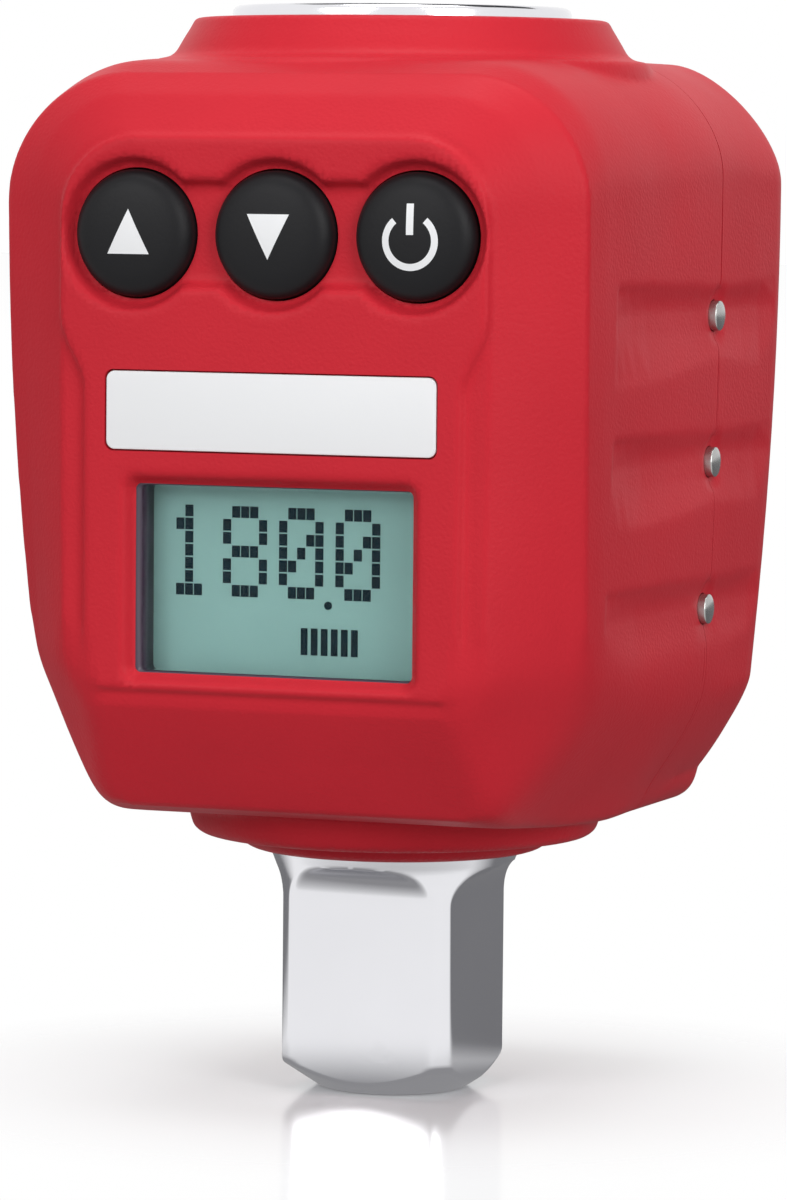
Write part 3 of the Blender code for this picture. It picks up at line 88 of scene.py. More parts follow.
# Board
BOARD_FRONT_Y = -17.4 * MM
BOARD_SCREW_X, BOARD_SCREW_Z = 12.0 * MM, 53.6 * MM

# Spindle
DRIVE_SQUARE = 12.7 * MM
RUNOUT_R, RUNOUT_TOP = 2.6 * MM, 16.15 * MM
JOURNAL_R = 8.9 * MM
SEAL_T = 0.8 * MM
LOWER_SEAL_Z, UPPER_SEAL_Z = 20.2 * MM, 72.825 * MM
SOCKET_SQUARE, SOCKET_DEPTH, SOCKET_MOUTH_R = 13.0 * MM, 16.0 * MM, 9.4 * MM
BALL_Z, BALL_PROUD = 7.5 * MM, 1.0 * MM

# Rear
CELL_X, CELL_Y, BAY_R = 8.2 * MM, 16.9 * MM, 5.55 * MM
BAY_BOTTOM, BAY_TOP = 21.6 * MM, 69.3 * MM
COVER_HALF_W, COVER_Z = 14.2 * MM, (22.0 * MM, 68.4 * MM)
COVER_INNER_Y = 22.5 * MM
SCREW_X, SCREW_Z = 17.1 * MM, (30.2 * MM, 61.5 * MM)
SCREW_SEAT_Y = 19.4 * MM


# Mesh helpers

def add_object(name, verts, faces, materials=(), smooth=True):
    mesh = bpy.data.meshes.new(name)
    mesh.from_pydata([tuple(v) for v in verts], [], faces)
    bm = bmesh.new()
    bm.from_mesh(mesh)
    bmesh.ops.recalc_face_normals(bm, faces=bm.faces)
    bm.to_mesh(mesh)
    bm.free()
    if smooth:
        mesh.shade_smooth()
        mesh.set_sharp_from_angle(angle=math.radians(38))
    obj = bpy.data.objects.new(name, mesh)
    bpy.context.scene.collection.objects.link(obj)
    for mat in materials:
        mesh.materials.append(mat)
    return obj


def loft(name, rings, materials=()):
    """A closed solid through rings of equal point counts, capped at both ends."""
    count = len(rings[0])
    verts = [point for ring in rings for point in ring]
    faces = []
    for level in range(len(rings) - 1):
        low, high = level * count, (level + 1) * count
        for i in range(count):
            j = (i + 1) % count
            faces.append((low + i, low + j, high + j, high + i))
    faces.append(tuple(range(count)))
    faces.append(tuple(reversed(range(len(verts) - count, len(verts)))))
    return add_object(name, verts, faces, materials)


def turned(name, profile, materials=(), steps=96, axis="Z", at=(0, 0, 0)):
    """A solid of revolution from a closed outline of (radius, height) points."""
    verts, rings = [], []
    for radius, height in profile:
        if radius < 1e-9:
            rings.append([len(verts)])
            verts.append(Vector((0, 0, height)))
            continue
        rings.append(list(range(len(verts), len(verts) + steps)))
        for i in range(steps):
            turn = 2 * math.pi * i / steps
            verts.append(Vector((radius * math.cos(turn), radius * math.sin(turn), height)))
    faces = []
    for ring_a, ring_b in zip(rings, rings[1:] + rings[:1]):
        for i in range(steps):
            j = (i + 1) % steps
            face = list(dict.fromkeys((ring_a[i % len(ring_a)], ring_a[j % len(ring_a)],
                                       ring_b[j % len(ring_b)], ring_b[i % len(ring_b)])))
            if len(face) > 2:
                faces.append(face)
    turn = {"Z": Matrix(), "X": Matrix.Rotation(math.pi / 2, 4, "Y"),
            "Y": Matrix.Rotation(-math.pi / 2, 4, "X")}[axis]
    obj = add_object(name, verts, faces, materials)
    obj.data.transform(Matrix.Translation(at) @ turn)
    return obj


def rod(name, radius, low, high, materials=(), steps=96, axis="Z", at=(0, 0, 0)):
    return turned(name, [(0, low), (radius, low), (radius, high), (0, high)], materials, steps, axis, at)


def block(name, low, high, materials=()):
    xs, ys, zs = zip(low, high)
    verts = [(x, y, z) for x in xs for y in ys for z in zs]
    faces = [(0, 1, 3, 2), (4, 6, 7, 5), (0, 4, 5, 1), (2, 3, 7, 6), (0, 2, 6, 4), (1, 5, 7, 3)]
    return add_object(name, verts, faces, materials, smooth=False)


def rounded_rectangle(half_w, bottom, top, corner, steps=8, center_x=0.0, lower_corner=None):
    lower = corner if lower_corner is None else lower_corner
    points = []
    for side, edge, radius, start in ((1, top, corner, 0), (-1, top, corner, 90),
                                      (-1, bottom, lower, 180), (1, bottom, lower, 270)):
        inward = -1 if edge == top else 1
        for i in range(steps + 1):
            turn = math.radians(start + 90 * i / steps)
            points.append((center_x + side * (half_w - radius) + radius * math.cos(turn),
                           edge + inward * radius + radius * math.sin(turn)))
    return points


def plate(name, outline, y_low, y_high, materials=()):
    return loft(name, [[(x, y, z) for x, z in outline] for y in (y_low, y_high)], materials)


def discard(*objects):
    for obj in objects:
        mesh = obj.data
        bpy.data.objects.remove(obj, do_unlink=True)
        bpy.data.meshes.remove(mesh)


def settle(obj):
    """Turns the object's modifiers into plain mesh."""
    depsgraph = bpy.context.evaluated_depsgraph_get()
    mesh = bpy.data.meshes.new_from_object(obj.evaluated_get(depsgraph))
    obj.modifiers.clear()
    old, obj.data = obj.data, mesh
    mesh.name = obj.name
    bpy.data.meshes.remove(old)
    return obj


def combine(target, *tools, operation="DIFFERENCE", solver="MANIFOLD"):
    """Cuts the tools from the target, joins them to it or keeps what they share, and uses them up."""
    for tool in tools:
        step = target.modifiers.new(tool.name, "BOOLEAN")
        step.operation, step.solver, step.object = operation, solver, tool
    settle(target)
    discard(*tools)
    return target


def merge_meshes(name, *objects):
    """One object that holds the meshes of several."""
    bm = bmesh.new()
    for obj in objects:
        bm.from_mesh(obj.data)
    mesh = bpy.data.meshes.new(name)
    bm.to_mesh(mesh)
    bm.free()
    result = bpy.data.objects.new(name, mesh)
    bpy.context.scene.collection.objects.link(result)
    discard(*objects)
    return result


def corner_curve(start, corner, end, weight, steps=20):
    points = []
    for i in range(steps + 1):
        t = i / steps
        a, b, c = (1 - t) ** 2, 2 * weight * t * (1 - t), t ** 2
        total = a + b + c
        points.append(tuple((a * s + b * k + c * e) / total for s, k, e in zip(start, corner, end)))
    return points


def hand_over(piece, body, slot, *cad_nodes):
    """Ties a finished piece to its body and hides the CAD nodes it stands for; the slot is not used."""
    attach(piece, body)
    if cad_nodes:
        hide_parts(*cad_nodes)


# Soft moulded forms

def soften(obj, voxel, passes, keep=0.5, extra=None, extra_passes=0):
    """Melts the object's solids into one skin with a moulding's rounded edges, and more where extra says."""
    remesh = obj.modifiers.new("Skin", "REMESH")
    remesh.mode, remesh.voxel_size, remesh.adaptivity = "VOXEL", voxel, 0.0
    settle(obj)
    mesh = obj.data
    count = len(mesh.vertices)
    points = np.empty(count * 3)
    mesh.vertices.foreach_get("co", points)
    points = points.reshape(-1, 3)
    edges = np.empty(len(mesh.edges) * 2, np.int32)
    mesh.edges.foreach_get("vertices", edges)
    a, b = edges.reshape(-1, 2).T
    ends, others = np.concatenate((a, b)), np.concatenate((b, a))
    valence = np.bincount(ends, minlength=count)
    for _ in range(passes):
        mean = np.stack([np.bincount(ends, points[others, k], count) for k in range(3)], axis=1)
        points += keep * (mean / valence[:, None] - points)
    if extra:
        share = extra(points)
        near = (share[a] > 0) | (share[b] > 0)
        ends, others = np.concatenate((a[near], b[near])), np.concatenate((b[near], a[near]))
        chosen, ends = np.unique(ends, return_inverse=True)
        valence = np.bincount(ends, minlength=len(chosen))[:, None]
        for _ in range(extra_passes):
            mean = np.stack([np.bincount(ends, points[others, k], len(chosen)) for k in range(3)], axis=1)
            points[chosen] += keep * share[chosen, None] * (mean / valence - points[chosen])
    mesh.vertices.foreach_set("co", points.ravel())
    mesh.update()
    mesh.shade_smooth()
    return obj


def thin_out(obj, triangles):
    now = sum(len(p.vertices) - 2 for p in obj.data.polygons)
    if now > triangles:
        step = obj.modifiers.new("Fewer", "DECIMATE")
        step.ratio = triangles / now
        settle(obj)
    return obj


def skin_normals(obj, tree, normals, faces, reach=0.02 * MM):
    """Shades the object's outer skin as smoothly as the fine form it was cut from."""
    mesh = obj.data
    mesh.shade_smooth()
    mesh.set_sharp_from_angle(angle=math.radians(30))
    own = np.empty(len(mesh.loops) * 3, np.float32)
    mesh.corner_normals.foreach_get("vector", own)
    own = own.reshape(-1, 3)
    near = {}
    for vertex in mesh.vertices:
        place, _, index, distance = tree.find_nearest(vertex.co, reach)
        if place is not None:
            near[vertex.index] = normals[faces[index]].mean(axis=0)
    loop_vertex = np.empty(len(mesh.loops), np.int32)
    mesh.loops.foreach_get("vertex_index", loop_vertex)
    table = np.zeros((len(mesh.vertices), 3), np.float32)
    for index, normal in near.items():
        table[index] = normal / np.linalg.norm(normal)
    wanted = table[loop_vertex]
    fits = np.einsum("ij,ij->i", wanted, own) > 0.8
    own[fits] = wanted[fits]
    mesh.normals_split_custom_set([tuple(n) for n in own])


# Housing form

# One row per upright section, front to rear, in mm: its place along Y, half width, top, base, top corner size
# and fullness, width and height of the slanted lower corner, lip under it, and how far its sides move inwards
# and back per mm of draw.
SECTIONS = [
    (-23.4, 15.25, 66.8, 28.5, 4.75, 0.70, 1.8, 2.2, 0.2, 0.1, 0.0),
    (-21.7, 18.1, 69.3, 24.8, 6.9, 0.70, 3.5, 6.3, 0.3, 0.3, 1.0),
    (-20.0, 20.9, 70.7, 21.1, 8.6, 0.66, 5.2, 9.9, 0.4, 0.5, 1.75),
    (-16.4, 21.1, 71.6, 20.4, 8.6, 0.64, 5.0, 9.5, 0.8, 0.48, 1.0),
    (-0.2, 21.4, 72.0, 19.3, 8.2, 0.62, 4.1, 9.0, 1.7, 0.42, 0.0),
    (6.5, 21.5, 72.0, 19.3, 7.9, 0.58, 4.0, 9.0, 2.0, 0.42, -0.3),
    (18.7, 21.7, 72.0, 19.2, 8.3, 0.42, 4.2, 9.0, 2.2, 0.5, -1.6),
]
CHAMFER_ROWS = 2      # rows before the first section behind the front chamfers


def between(rows, index, t):
    """Values a share t of the way past a row: straight over the chamfers, a smooth curve behind them."""
    here, there = rows[index], rows[index + 1]
    if index < CHAMFER_ROWS:
        return [a + (b - a) * t for a, b in zip(here, there)]
    before, after = rows[max(index - 1, CHAMFER_ROWS)], rows[min(index + 2, len(rows) - 1)]
    values = []
    for column, (p, a, b, q) in enumerate(zip(before, here, there, after)):
        if column == 0:
            values.append(a + (b - a) * t)
            continue
        reach = there[0] - here[0]
        lead = (b - p) / max(there[0] - before[0], 1e-6) * reach
        trail = (q - a) / max(after[0] - here[0], 1e-6) * reach
        values.append((2 * t ** 3 - 3 * t ** 2 + 1) * a + (t ** 3 - 2 * t ** 2 + t) * lead
                      + (3 * t ** 2 - 2 * t ** 3) * b + (t ** 3 - t ** 2) * trail)
    return values


def side_draw(z):
    """How far the sides have curved in at height z, in mm."""
    return SIDE_DRAW * (max(63.4 - z, 0.0) / SIDE_DRAW_H) ** 2


def section(y, half_w, top, bottom, corner, fullness, lower_w, lower_h, lip, draw, back):
    """One upright section of the body, from values in mm."""
    side_high, side_low = top - corner, bottom + lower_h
    upper = corner_curve((half_w - corner, top), (half_w, top), (half_w, side_high), fullness)
    heights = [side_high + (side_low - side_high) * i / 12 for i in range(1, 12)]
    side = [(half_w - draw * side_draw(z), z) for z in heights]
    low_x = half_w - draw * side_draw(side_low)
    foot = (low_x - lower_w, bottom + lip)
    slant = corner_curve((low_x, side_low), (low_x - 0.12 * lower_w, side_low - 0.3 * lower_h), foot, 0.6)
    lower = corner_curve(foot, (foot[0] - 0.1 * lip, bottom), (foot[0] - lip, bottom), 0.8, 8)
    right = upper + side + slant + lower[1:]
    ring = []
    for x, z in right + [(-x, z) for x, z in reversed(right)]:
        outward = min(max((abs(x) - 12) / 7, 0.0), 1.0)
        ring.append((x * MM, (y + back * min(side_draw(z), 1.9) * outward) * MM, z * MM))
    return ring


def body_rings(inset=0.0):
    """Sections from front to rear; an inset in mm gives a form that lies inside by that much."""
    rows = [between(SECTIONS, index, i / 8) for index in range(len(SECTIONS) - 1) for i in range(8)]
    rear = SECTIONS[-1]
    for turn in range(0, 91, 10):
        reach, pull = 5 * math.sin(math.radians(turn)), 5 * (1 - math.cos(math.radians(turn)))
        rows.append([rear[0] + reach, rear[1] - pull, rear[2] - 0.7 * pull, rear[3] + 0.5 * pull,
                     rear[4] - 0.3 * pull, rear[5], rear[6] - 0.2 * pull, *rear[7:9],
                     rear[9] - 0.32 * rear[10] * pull / 1.6, rear[10] * (1 - reach / 5)])
    middle, span = (rows[0][0] + rows[-1][0]) / 2, (rows[-1][0] - rows[0][0]) / 2
    for row in rows:
        row[0] = middle + (row[0] - middle) * (span - inset) / span
        row[1] -= inset
        row[2] -= inset
        row[3] += inset
        row[4] = max(row[4] - 0.5 * inset, 0.5)
    return [section(*row) for row in rows]


def side_x(z):
    """Half width of the body on its seam at height z."""
    return (SECTIONS[5][1] - SECTIONS[5][9] * side_draw(z / MM)) * MM


def collars():
    """Flared collar round the head and the two steps under the body."""
    top, shelf, under = BODY_TOP, 17.95 * MM, 16.85 * MM
    upper = turned("upper_collar", [
        (0, top - 4 * MM), (17.6 * MM, top - 1.2 * MM), (17.2 * MM, top - 0.15 * MM), (16.2 * MM, top),
        (15.75 * MM, top + 0.3 * MM), (15.15 * MM, top + 1.35 * MM), (14.65 * MM, COLLAR_TOP - 0.6 * MM),
        (14.4 * MM, COLLAR_TOP - 0.1 * MM), (14.2 * MM, COLLAR_TOP), (0, COLLAR_TOP)], steps=160)
    lower = turned("lower_collar", [
        (0, BODY_Z + 3 * MM), (14.5 * MM, BODY_Z + 3 * MM), (14.4 * MM, BODY_Z - 0.2 * MM),
        (14.15 * MM, shelf + 0.4 * MM), (13.6 * MM, shelf), (10.95 * MM, shelf), (10.85 * MM, shelf - 0.4 * MM),
        (10.5 * MM, under + 0.25 * MM), (9.8 * MM, under), (0, under)], steps=160)
    return upper, lower


def panel_outline(inset=0.0):
    """Raised panel: narrow round the display and label, broad with full corners round the buttons."""
    broad = rounded_rectangle(PANEL_BROAD_HALF_W - inset, PANEL_BOTTOM + inset, PANEL_TOP - inset,
                              5.6 * MM - inset, steps=12)
    narrow = rounded_rectangle(PANEL_HALF_W - inset, PANEL_BOTTOM + inset, PANEL_TOP - inset,
                               1.0 * MM - 0.5 * inset, steps=6)
    low, high = PANEL_FLARE_Z
    flare = []
    for i in range(13):
        t = i / 12
        ease = t * t * (3 - 2 * t)
        flare.append((PANEL_HALF_W - inset + (PANEL_BROAD_HALF_W - PANEL_HALF_W) * ease, low + (high - low) * t))
    return ([p for p in broad if p[1] > high] + [(-x, z) for x, z in reversed(flare)]
            + [p for p in narrow if p[1] < low] + flare)


def groove(name, z, side):
    """Grip groove: steep above its lamp, gentle below, fading out at both ends."""
    rings = []
    for y, share in ((-14.5, -0.2), (-12.5, 0.25), (-10.5, 0.65), (-7.5, 1.0), (6.5, 1.0), (12.0, 0.9),
                     (15.5, 0.55), (18.5, -0.2)):
        skin = side_x(z) - 0.85 * MM * max(6.5 - y, 0.0) / 26.7
        floor, out = skin - GROOVE_DEPTH * share, skin + 3 * MM
        ring = [(out, z + 3.0 * MM), (skin + 0.15 * MM, z + 2.3 * MM), (floor + 0.06 * MM, z + 1.1 * MM),
                (floor, z + 0.5 * MM), (floor + 0.1 * MM, z - 1.05 * MM), (skin + 0.15 * MM, z - 4.2 * MM),
                (out, z - 5.6 * MM)]
        rings.append([(side * x, y * MM, height) for x, height in ring])
    return loft(name, rings)


def lamp_cone(name, z, side):
    """Shallow dish round a lamp."""
    skin = side_x(z) - 0.8 * GROOVE_DEPTH
    tool = turned(name, [(0, skin - 0.25 * MM), (1.15 * MM, skin - 0.25 * MM), (1.8 * MM, skin - 0.05 * MM),
                         (2.5 * MM, skin + 0.6 * MM), (0, skin + 0.6 * MM)], steps=48, axis="X", at=(0, SEAM_Y, z))
    if side < 0:
        tool.data.transform(Matrix.Scale(-1, 4, (1, 0, 0)))
        tool.data.flip_normals()
    return tool


def recess_tools():
    """Three round dishes joined by a narrower channel, with soft walls."""
    tools, outside, floor = [], PANEL_Y - 1.0 * MM, PANEL_Y + RECESS_DEPTH
    for word, x in BUTTON_X.items():
        r = RECESS_R
        tools.append(turned(f"dish_{word}", [
            (0, outside), (r + 0.9 * MM, outside), (r + 0.45 * MM, PANEL_Y - 0.1 * MM), (r + 0.2 * MM, PANEL_Y + 0.35 * MM),
            (r, floor - 0.3 * MM), (r - 0.15 * MM, floor), (0, floor)], steps=96, axis="Y", at=(x, 0, BUTTON_Z)))
    rings = []
    for y, grow in ((outside, 0.9), (PANEL_Y - 0.1 * MM, 0.45), (PANEL_Y + 0.35 * MM, 0.2), (floor - 0.3 * MM, 0.0),
                    (floor - 0.01 * MM, -0.15)):
        half = RECESS_WAIST + grow * MM
        rings.append([(x, y, z) for x, z in rounded_rectangle(BUTTON_X["power"], BUTTON_Z - half, BUTTON_Z + half,
                                                              0.4 * MM)])
    tools.append(loft("channel", rings))
    return tools


def bezel_tool():
    """Soft sloping frame round the display's opening."""
    rings = []
    for y, grow in ((-1.0, 1.3), (-0.1, 0.85), (0.25, 0.5), (0.8, 0.12), (1.05, 0.0)):
        outline = rounded_rectangle(WINDOW_W / 2 + grow * MM, WINDOW_Z - WINDOW_H / 2 - grow * MM,
                                    WINDOW_Z + WINDOW_H / 2 + grow * MM, (0.4 + grow) * MM)
        rings.append([(x, PANEL_Y + y * MM, z) for x, z in outline])
    return loft("bezel", rings)


def heel_share(points):
    """1 on the housing's lower corners, where the moulding is rounder, and 0 away from them."""
    x, y, z = np.abs(points[:, 0]) / MM, points[:, 1] / MM, points[:, 2] / MM
    return (np.clip((x - 12.0) / 3, 0, 1) * np.clip((34 - z) / 5, 0, 1) * np.clip((z - 19.8) / 1.2, 0, 1)
            * np.clip((12 - y) / 6, 0, 1))


def outer_form():
    """The whole outside of the housing as one solid with moulded edges."""
    body = loft("outer_form", body_rings())
    soft = 0.15 * MM
    panel = loft("panel_form", [[(x, y, z) for x, z in panel_outline(inset)] for y, inset in (
        (PANEL_Y, soft), (PANEL_Y + soft, 0.0), (BODY_FRONT + 1.2 * MM, 0.0))])
    ribs = [rod(f"grip_rib_{i}", 0.45 * MM, -5 * MM, 5 * MM, steps=24, axis="X",
                at=(0, BODY_REAR, BAY_BOTTOM + (4 + 1.6 * i) * MM)) for i in range(5)]
    combine(body, panel, *collars(), *ribs, operation="UNION")
    sides = ((1, "right"), (-1, "left"))
    combine(body, *[groove(f"groove_{word}_{i}", z, side) for side, word in sides for i, z in enumerate(LAMP_Z)])
    combine(body, *recess_tools(), bezel_tool(),
            *[lamp_cone(f"cone_{word}_{i}", z, side) for side, word in sides for i, z in enumerate(LAMP_Z)])
    return soften(body, 0.17 * MM, 8, extra=heel_share, extra_passes=260)


# Housing shells

def fine_skin(form):
    """Search tree, vertex normals and faces of the untouched outer form."""
    mesh = form.data
    mesh.calc_loop_triangles()
    points = np.empty(len(mesh.vertices) * 3, np.float32)
    mesh.vertices.foreach_get("co", points)
    faces = np.empty(len(mesh.loop_triangles) * 3, np.int32)
    mesh.loop_triangles.foreach_get("vertices", faces)
    faces = faces.reshape(-1, 3)
    normals = np.empty(len(mesh.vertices) * 3, np.float32)
    mesh.vertex_normals.foreach_get("vector", normals)
    tree = BVHTree.FromPolygons(points.reshape(-1, 3).tolist(), faces.tolist())
    return tree, normals.reshape(-1, 3), faces


def screw_places():
    return [(side * SCREW_X, z) for z in SCREW_Z for side in (-1, 1)]


def post(name, x, z, diameter, y_low, y_high):
    return rod(name, diameter / 2, y_low, y_high, axis="Y", steps=48, at=(x, 0, z))


def hollow_tool(name, *kept):
    """Room inside one shell, less the bosses and blocks that stay solid in it."""
    return combine(loft(name, body_rings(2.0)), *kept)


def seam_tool():
    """Thin band along the split line, which leaves a fine V-shaped shadow where the shells meet."""
    row = list(SECTIONS[5])

    def ring(y, inset):
        moved = [y, row[1] - inset, row[2] - inset, row[3] + inset, *row[4:]]
        return section(*moved)

    middle = SEAM_Y / MM
    band = loft("seam_band", [ring(middle - 0.05, -2.0), ring(middle + 0.05, -2.0)])
    core = loft("seam_core", [ring(middle - 0.3, 0.0), ring(middle - 0.03, 0.10), ring(middle + 0.03, 0.10),
                              ring(middle + 0.3, 0.0)])
    return combine(band, core)


def shared_bores():
    """Openings that both shells have: round the spindle and round the lamps."""
    spindle = turned("spindle_bore", [(0, 10 * MM), (9.2 * MM, 10 * MM), (9.2 * MM, 23.1 * MM),
                                      (12.1 * MM, 61 * MM), (12.1 * MM, 80 * MM), (0, 80 * MM)], steps=160)
    lamps = [rod(f"lamp_bore_{i}", LAMP_R + 0.08 * MM, -30 * MM, 30 * MM, axis="X", steps=64, at=(0, SEAM_Y, z))
             for i, z in enumerate(LAMP_Z)]
    return [spindle, *lamps]


def front_bores():
    window = plate("window_bore", rounded_rectangle(WINDOW_W / 2, WINDOW_Z - WINDOW_H / 2, WINDOW_Z + WINDOW_H / 2,
                                                    0.4 * MM), PANEL_Y - 1 * MM, PANEL_Y + 6 * MM)
    pocket = plate("label_pocket", rounded_rectangle(LABEL_W / 2 + 0.1 * MM, LABEL_Z - LABEL_H / 2 - 0.1 * MM,
                                                     LABEL_Z + LABEL_H / 2 + 0.1 * MM, 0.6 * MM),
                   PANEL_Y - 1 * MM, PANEL_Y + 0.55 * MM)
    buttons = [rod(f"button_bore_{word}", BUTTON_R + 0.13 * MM, PANEL_Y, PANEL_Y + 8 * MM, axis="Y", steps=128,
                   at=(x, 0, BUTTON_Z)) for word, x in BUTTON_X.items()]
    screws = [post(f"pilot_{i}", x, z, 2.6 * MM, 4.9 * MM, 8 * MM) for i, (x, z) in enumerate(screw_places())]
    screws += [post(f"board_pilot_{i}", x, BOARD_SCREW_Z, 1.9 * MM, -20.3 * MM, BOARD_FRONT_Y)
               for i, x in enumerate((-BOARD_SCREW_X, BOARD_SCREW_X))]
    return [window, pocket, *buttons, *screws]


def rear_bores():
    """Cell bays with their mouths, the seat of the cover, and the screw holes."""
    tools = []
    for word, x in (("left", -CELL_X), ("right", CELL_X)):
        tools.append(rod(f"bay_{word}", BAY_R, BAY_BOTTOM, BAY_TOP, steps=96, at=(x, CELL_Y, 0)))
        tools.append(block(f"mouth_{word}", (x - BAY_R + 0.02 * MM, CELL_Y, COVER_Z[0] + 0.9 * MM),
                           (x + BAY_R - 0.02 * MM, 25 * MM, COVER_Z[1] - 0.9 * MM)))
    seat = plate("cover_seat", rounded_rectangle(COVER_HALF_W + 0.15 * MM, COVER_Z[0] - 0.15 * MM,
                                                 COVER_Z[1] + 0.15 * MM, 2.15 * MM), COVER_INNER_Y - 0.3 * MM, 30 * MM)
    rib = block("rib_groove", (-1.3 * MM, COVER_INNER_Y - 1.5 * MM, BAY_BOTTOM + 7.7 * MM),
                (1.3 * MM, COVER_INNER_Y + 0.5 * MM, BAY_TOP - 7.7 * MM))
    bridge = block("bridge_slot", (-CELL_X, CELL_Y - 4.4 * MM, BAY_BOTTOM),
                   (CELL_X, CELL_Y + 4.4 * MM, BAY_BOTTOM + 1.0 * MM))
    pin = block("pin_slot", (-1.8 * MM, SEAM_Y - 1 * MM, 62.2 * MM), (1.8 * MM, 14.9 * MM, 65.8 * MM))
    screws = [post(f"screw_hole_{i}", x, z, 2.8 * MM, 5 * MM, 21 * MM) for i, (x, z) in enumerate(screw_places())]
    sinks = [post(f"screw_sink_{i}", x, z, 4.0 * MM, SCREW_SEAT_Y, 30 * MM)
             for i, (x, z) in enumerate(screw_places())]
    return [*tools, seat, rib, bridge, pin, *screws, *sinks]


def duplicate(obj, name):
    other = bpy.data.objects.new(name, obj.data.copy())
    bpy.context.scene.collection.objects.link(other)
    return other


def half_space(name, y_low, y_high):
    return block(name, (-40 * MM, y_low, -5 * MM), (40 * MM, y_high, 90 * MM))


def housing_shells(red):
    """Front shell, rear shell and battery cover, cut from one soft outer form."""
    form = outer_form()
    skin = fine_skin(form)
    thin_out(form, 285000)
    combine(form, seam_tool(), *shared_bores())
    front, rear, cover = (duplicate(form, name) for name in ("front_shell", "rear_shell", "rear_cover"))
    discard(form)
    bosses = [post(f"front_boss_{i}", x, z, 4.4 * MM, -22 * MM, 4.5 * MM) for i, (x, z) in enumerate(screw_places())]
    bosses += [post(f"board_post_{i}", x, BOARD_SCREW_Z, 3.2 * MM, -25.4 * MM, BOARD_FRONT_Y - 0.3 * MM)
               for i, x in enumerate((-BOARD_SCREW_X, BOARD_SCREW_X))]
    combine(front, hollow_tool("front_hollow", *bosses), half_space("front_trim", SEAM_Y - 0.02 * MM, 60 * MM),
            *front_bores())
    bosses = [post(f"rear_boss_{i}", x, z, 4.4 * MM, 2.5 * MM, 28 * MM) for i, (x, z) in enumerate(screw_places())]
    bay = block("bay_block", (-15.05 * MM, 10.05 * MM, BAY_BOTTOM - 1.3 * MM), (15.05 * MM, 29 * MM, BAY_TOP + 1.3 * MM))
    combine(rear, hollow_tool("rear_hollow", bay, *bosses), half_space("rear_trim", -60 * MM, SEAM_Y + 0.02 * MM),
            *rear_bores())
    combine(cover, plate("cover_trim", rounded_rectangle(COVER_HALF_W, COVER_Z[0], COVER_Z[1], 2 * MM),
                         COVER_INNER_Y, 30 * MM), operation="INTERSECT")
    rib = block("cover_rib", (-1 * MM, COVER_INNER_Y - 1.2 * MM, BAY_BOTTOM + 8 * MM),
                (1 * MM, COVER_INNER_Y + 0.4 * MM, BAY_TOP - 8 * MM))
    combine(cover, rib, operation="UNION")
    for shell, body, nodes in ((front, "housing", "front_housing"), (rear, "housing", "rear_housing"),
                               (cover, "battery_cover", "battery_cover")):
        shell.data.materials.clear()
        shell.data.materials.append(red)
        skin_normals(shell, *skin)
        hand_over(shell, body, "red_moulding", nodes)


# Spindle

def eased(points, cut, steps=5):
    """The outline with each of its inner corners rounded, starting at most cut before it."""
    points = [Vector((r, z)) for r, z in points]
    result = [tuple(points[0])]
    for before, here, after in zip(points, points[1:], points[2:]):
        into, away = here - before, after - here
        reach = min(cut, 0.45 * into.length, 0.45 * away.length)
        start, end = here - into.normalized() * reach, here + away.normalized() * reach
        result += corner_curve(tuple(start), tuple(here), tuple(end), 0.8, steps)
    return result + [tuple(points[-1])]


def smaller_soft(a, b, reach):
    """The smaller of two lengths, with a rounded change from one to the other."""
    share = max(reach - abs(a - b), 0.0) / reach
    return min(a, b) - 0.25 * reach * share ** 2


def flat_distance(z):
    """Distance from the axis to the milled flats at height z: level, then curving out under the collar."""
    start = RUNOUT_TOP - RUNOUT_R
    if z <= start:
        return DRIVE_SQUARE / 2
    rise = min((z - start) / RUNOUT_R, 1.0)
    return DRIVE_SQUARE / 2 + RUNOUT_R * (1 - math.sqrt(1 - rise * rise))


def spindle_ring(radius, half, z, steps, reach):
    """Points round the axis: a circle of the radius, less what a square of that half width takes away."""
    ring = []
    for i in range(steps):
        turn = 2 * math.pi * (i + 0.5) / steps
        flat = half / max(abs(math.cos(turn)), abs(math.sin(turn)))
        r = smaller_soft(radius, flat, reach) if reach > 0 else max(radius, flat)
        ring.append((r * math.cos(turn), r * math.sin(turn), z))
    return ring


def dense(points, spacing):
    """The outline with points added so that none of its steps is longer than the spacing."""
    result = [points[0]]
    for (r0, z0), (r1, z1) in zip(points, points[1:]):
        count = max(int(math.hypot(r1 - r0, z1 - z0) / spacing), 1)
        result += [(r0 + (r1 - r0) * i / count, z0 + (z1 - z0) * i / count) for i in range(1, count + 1)]
    return result


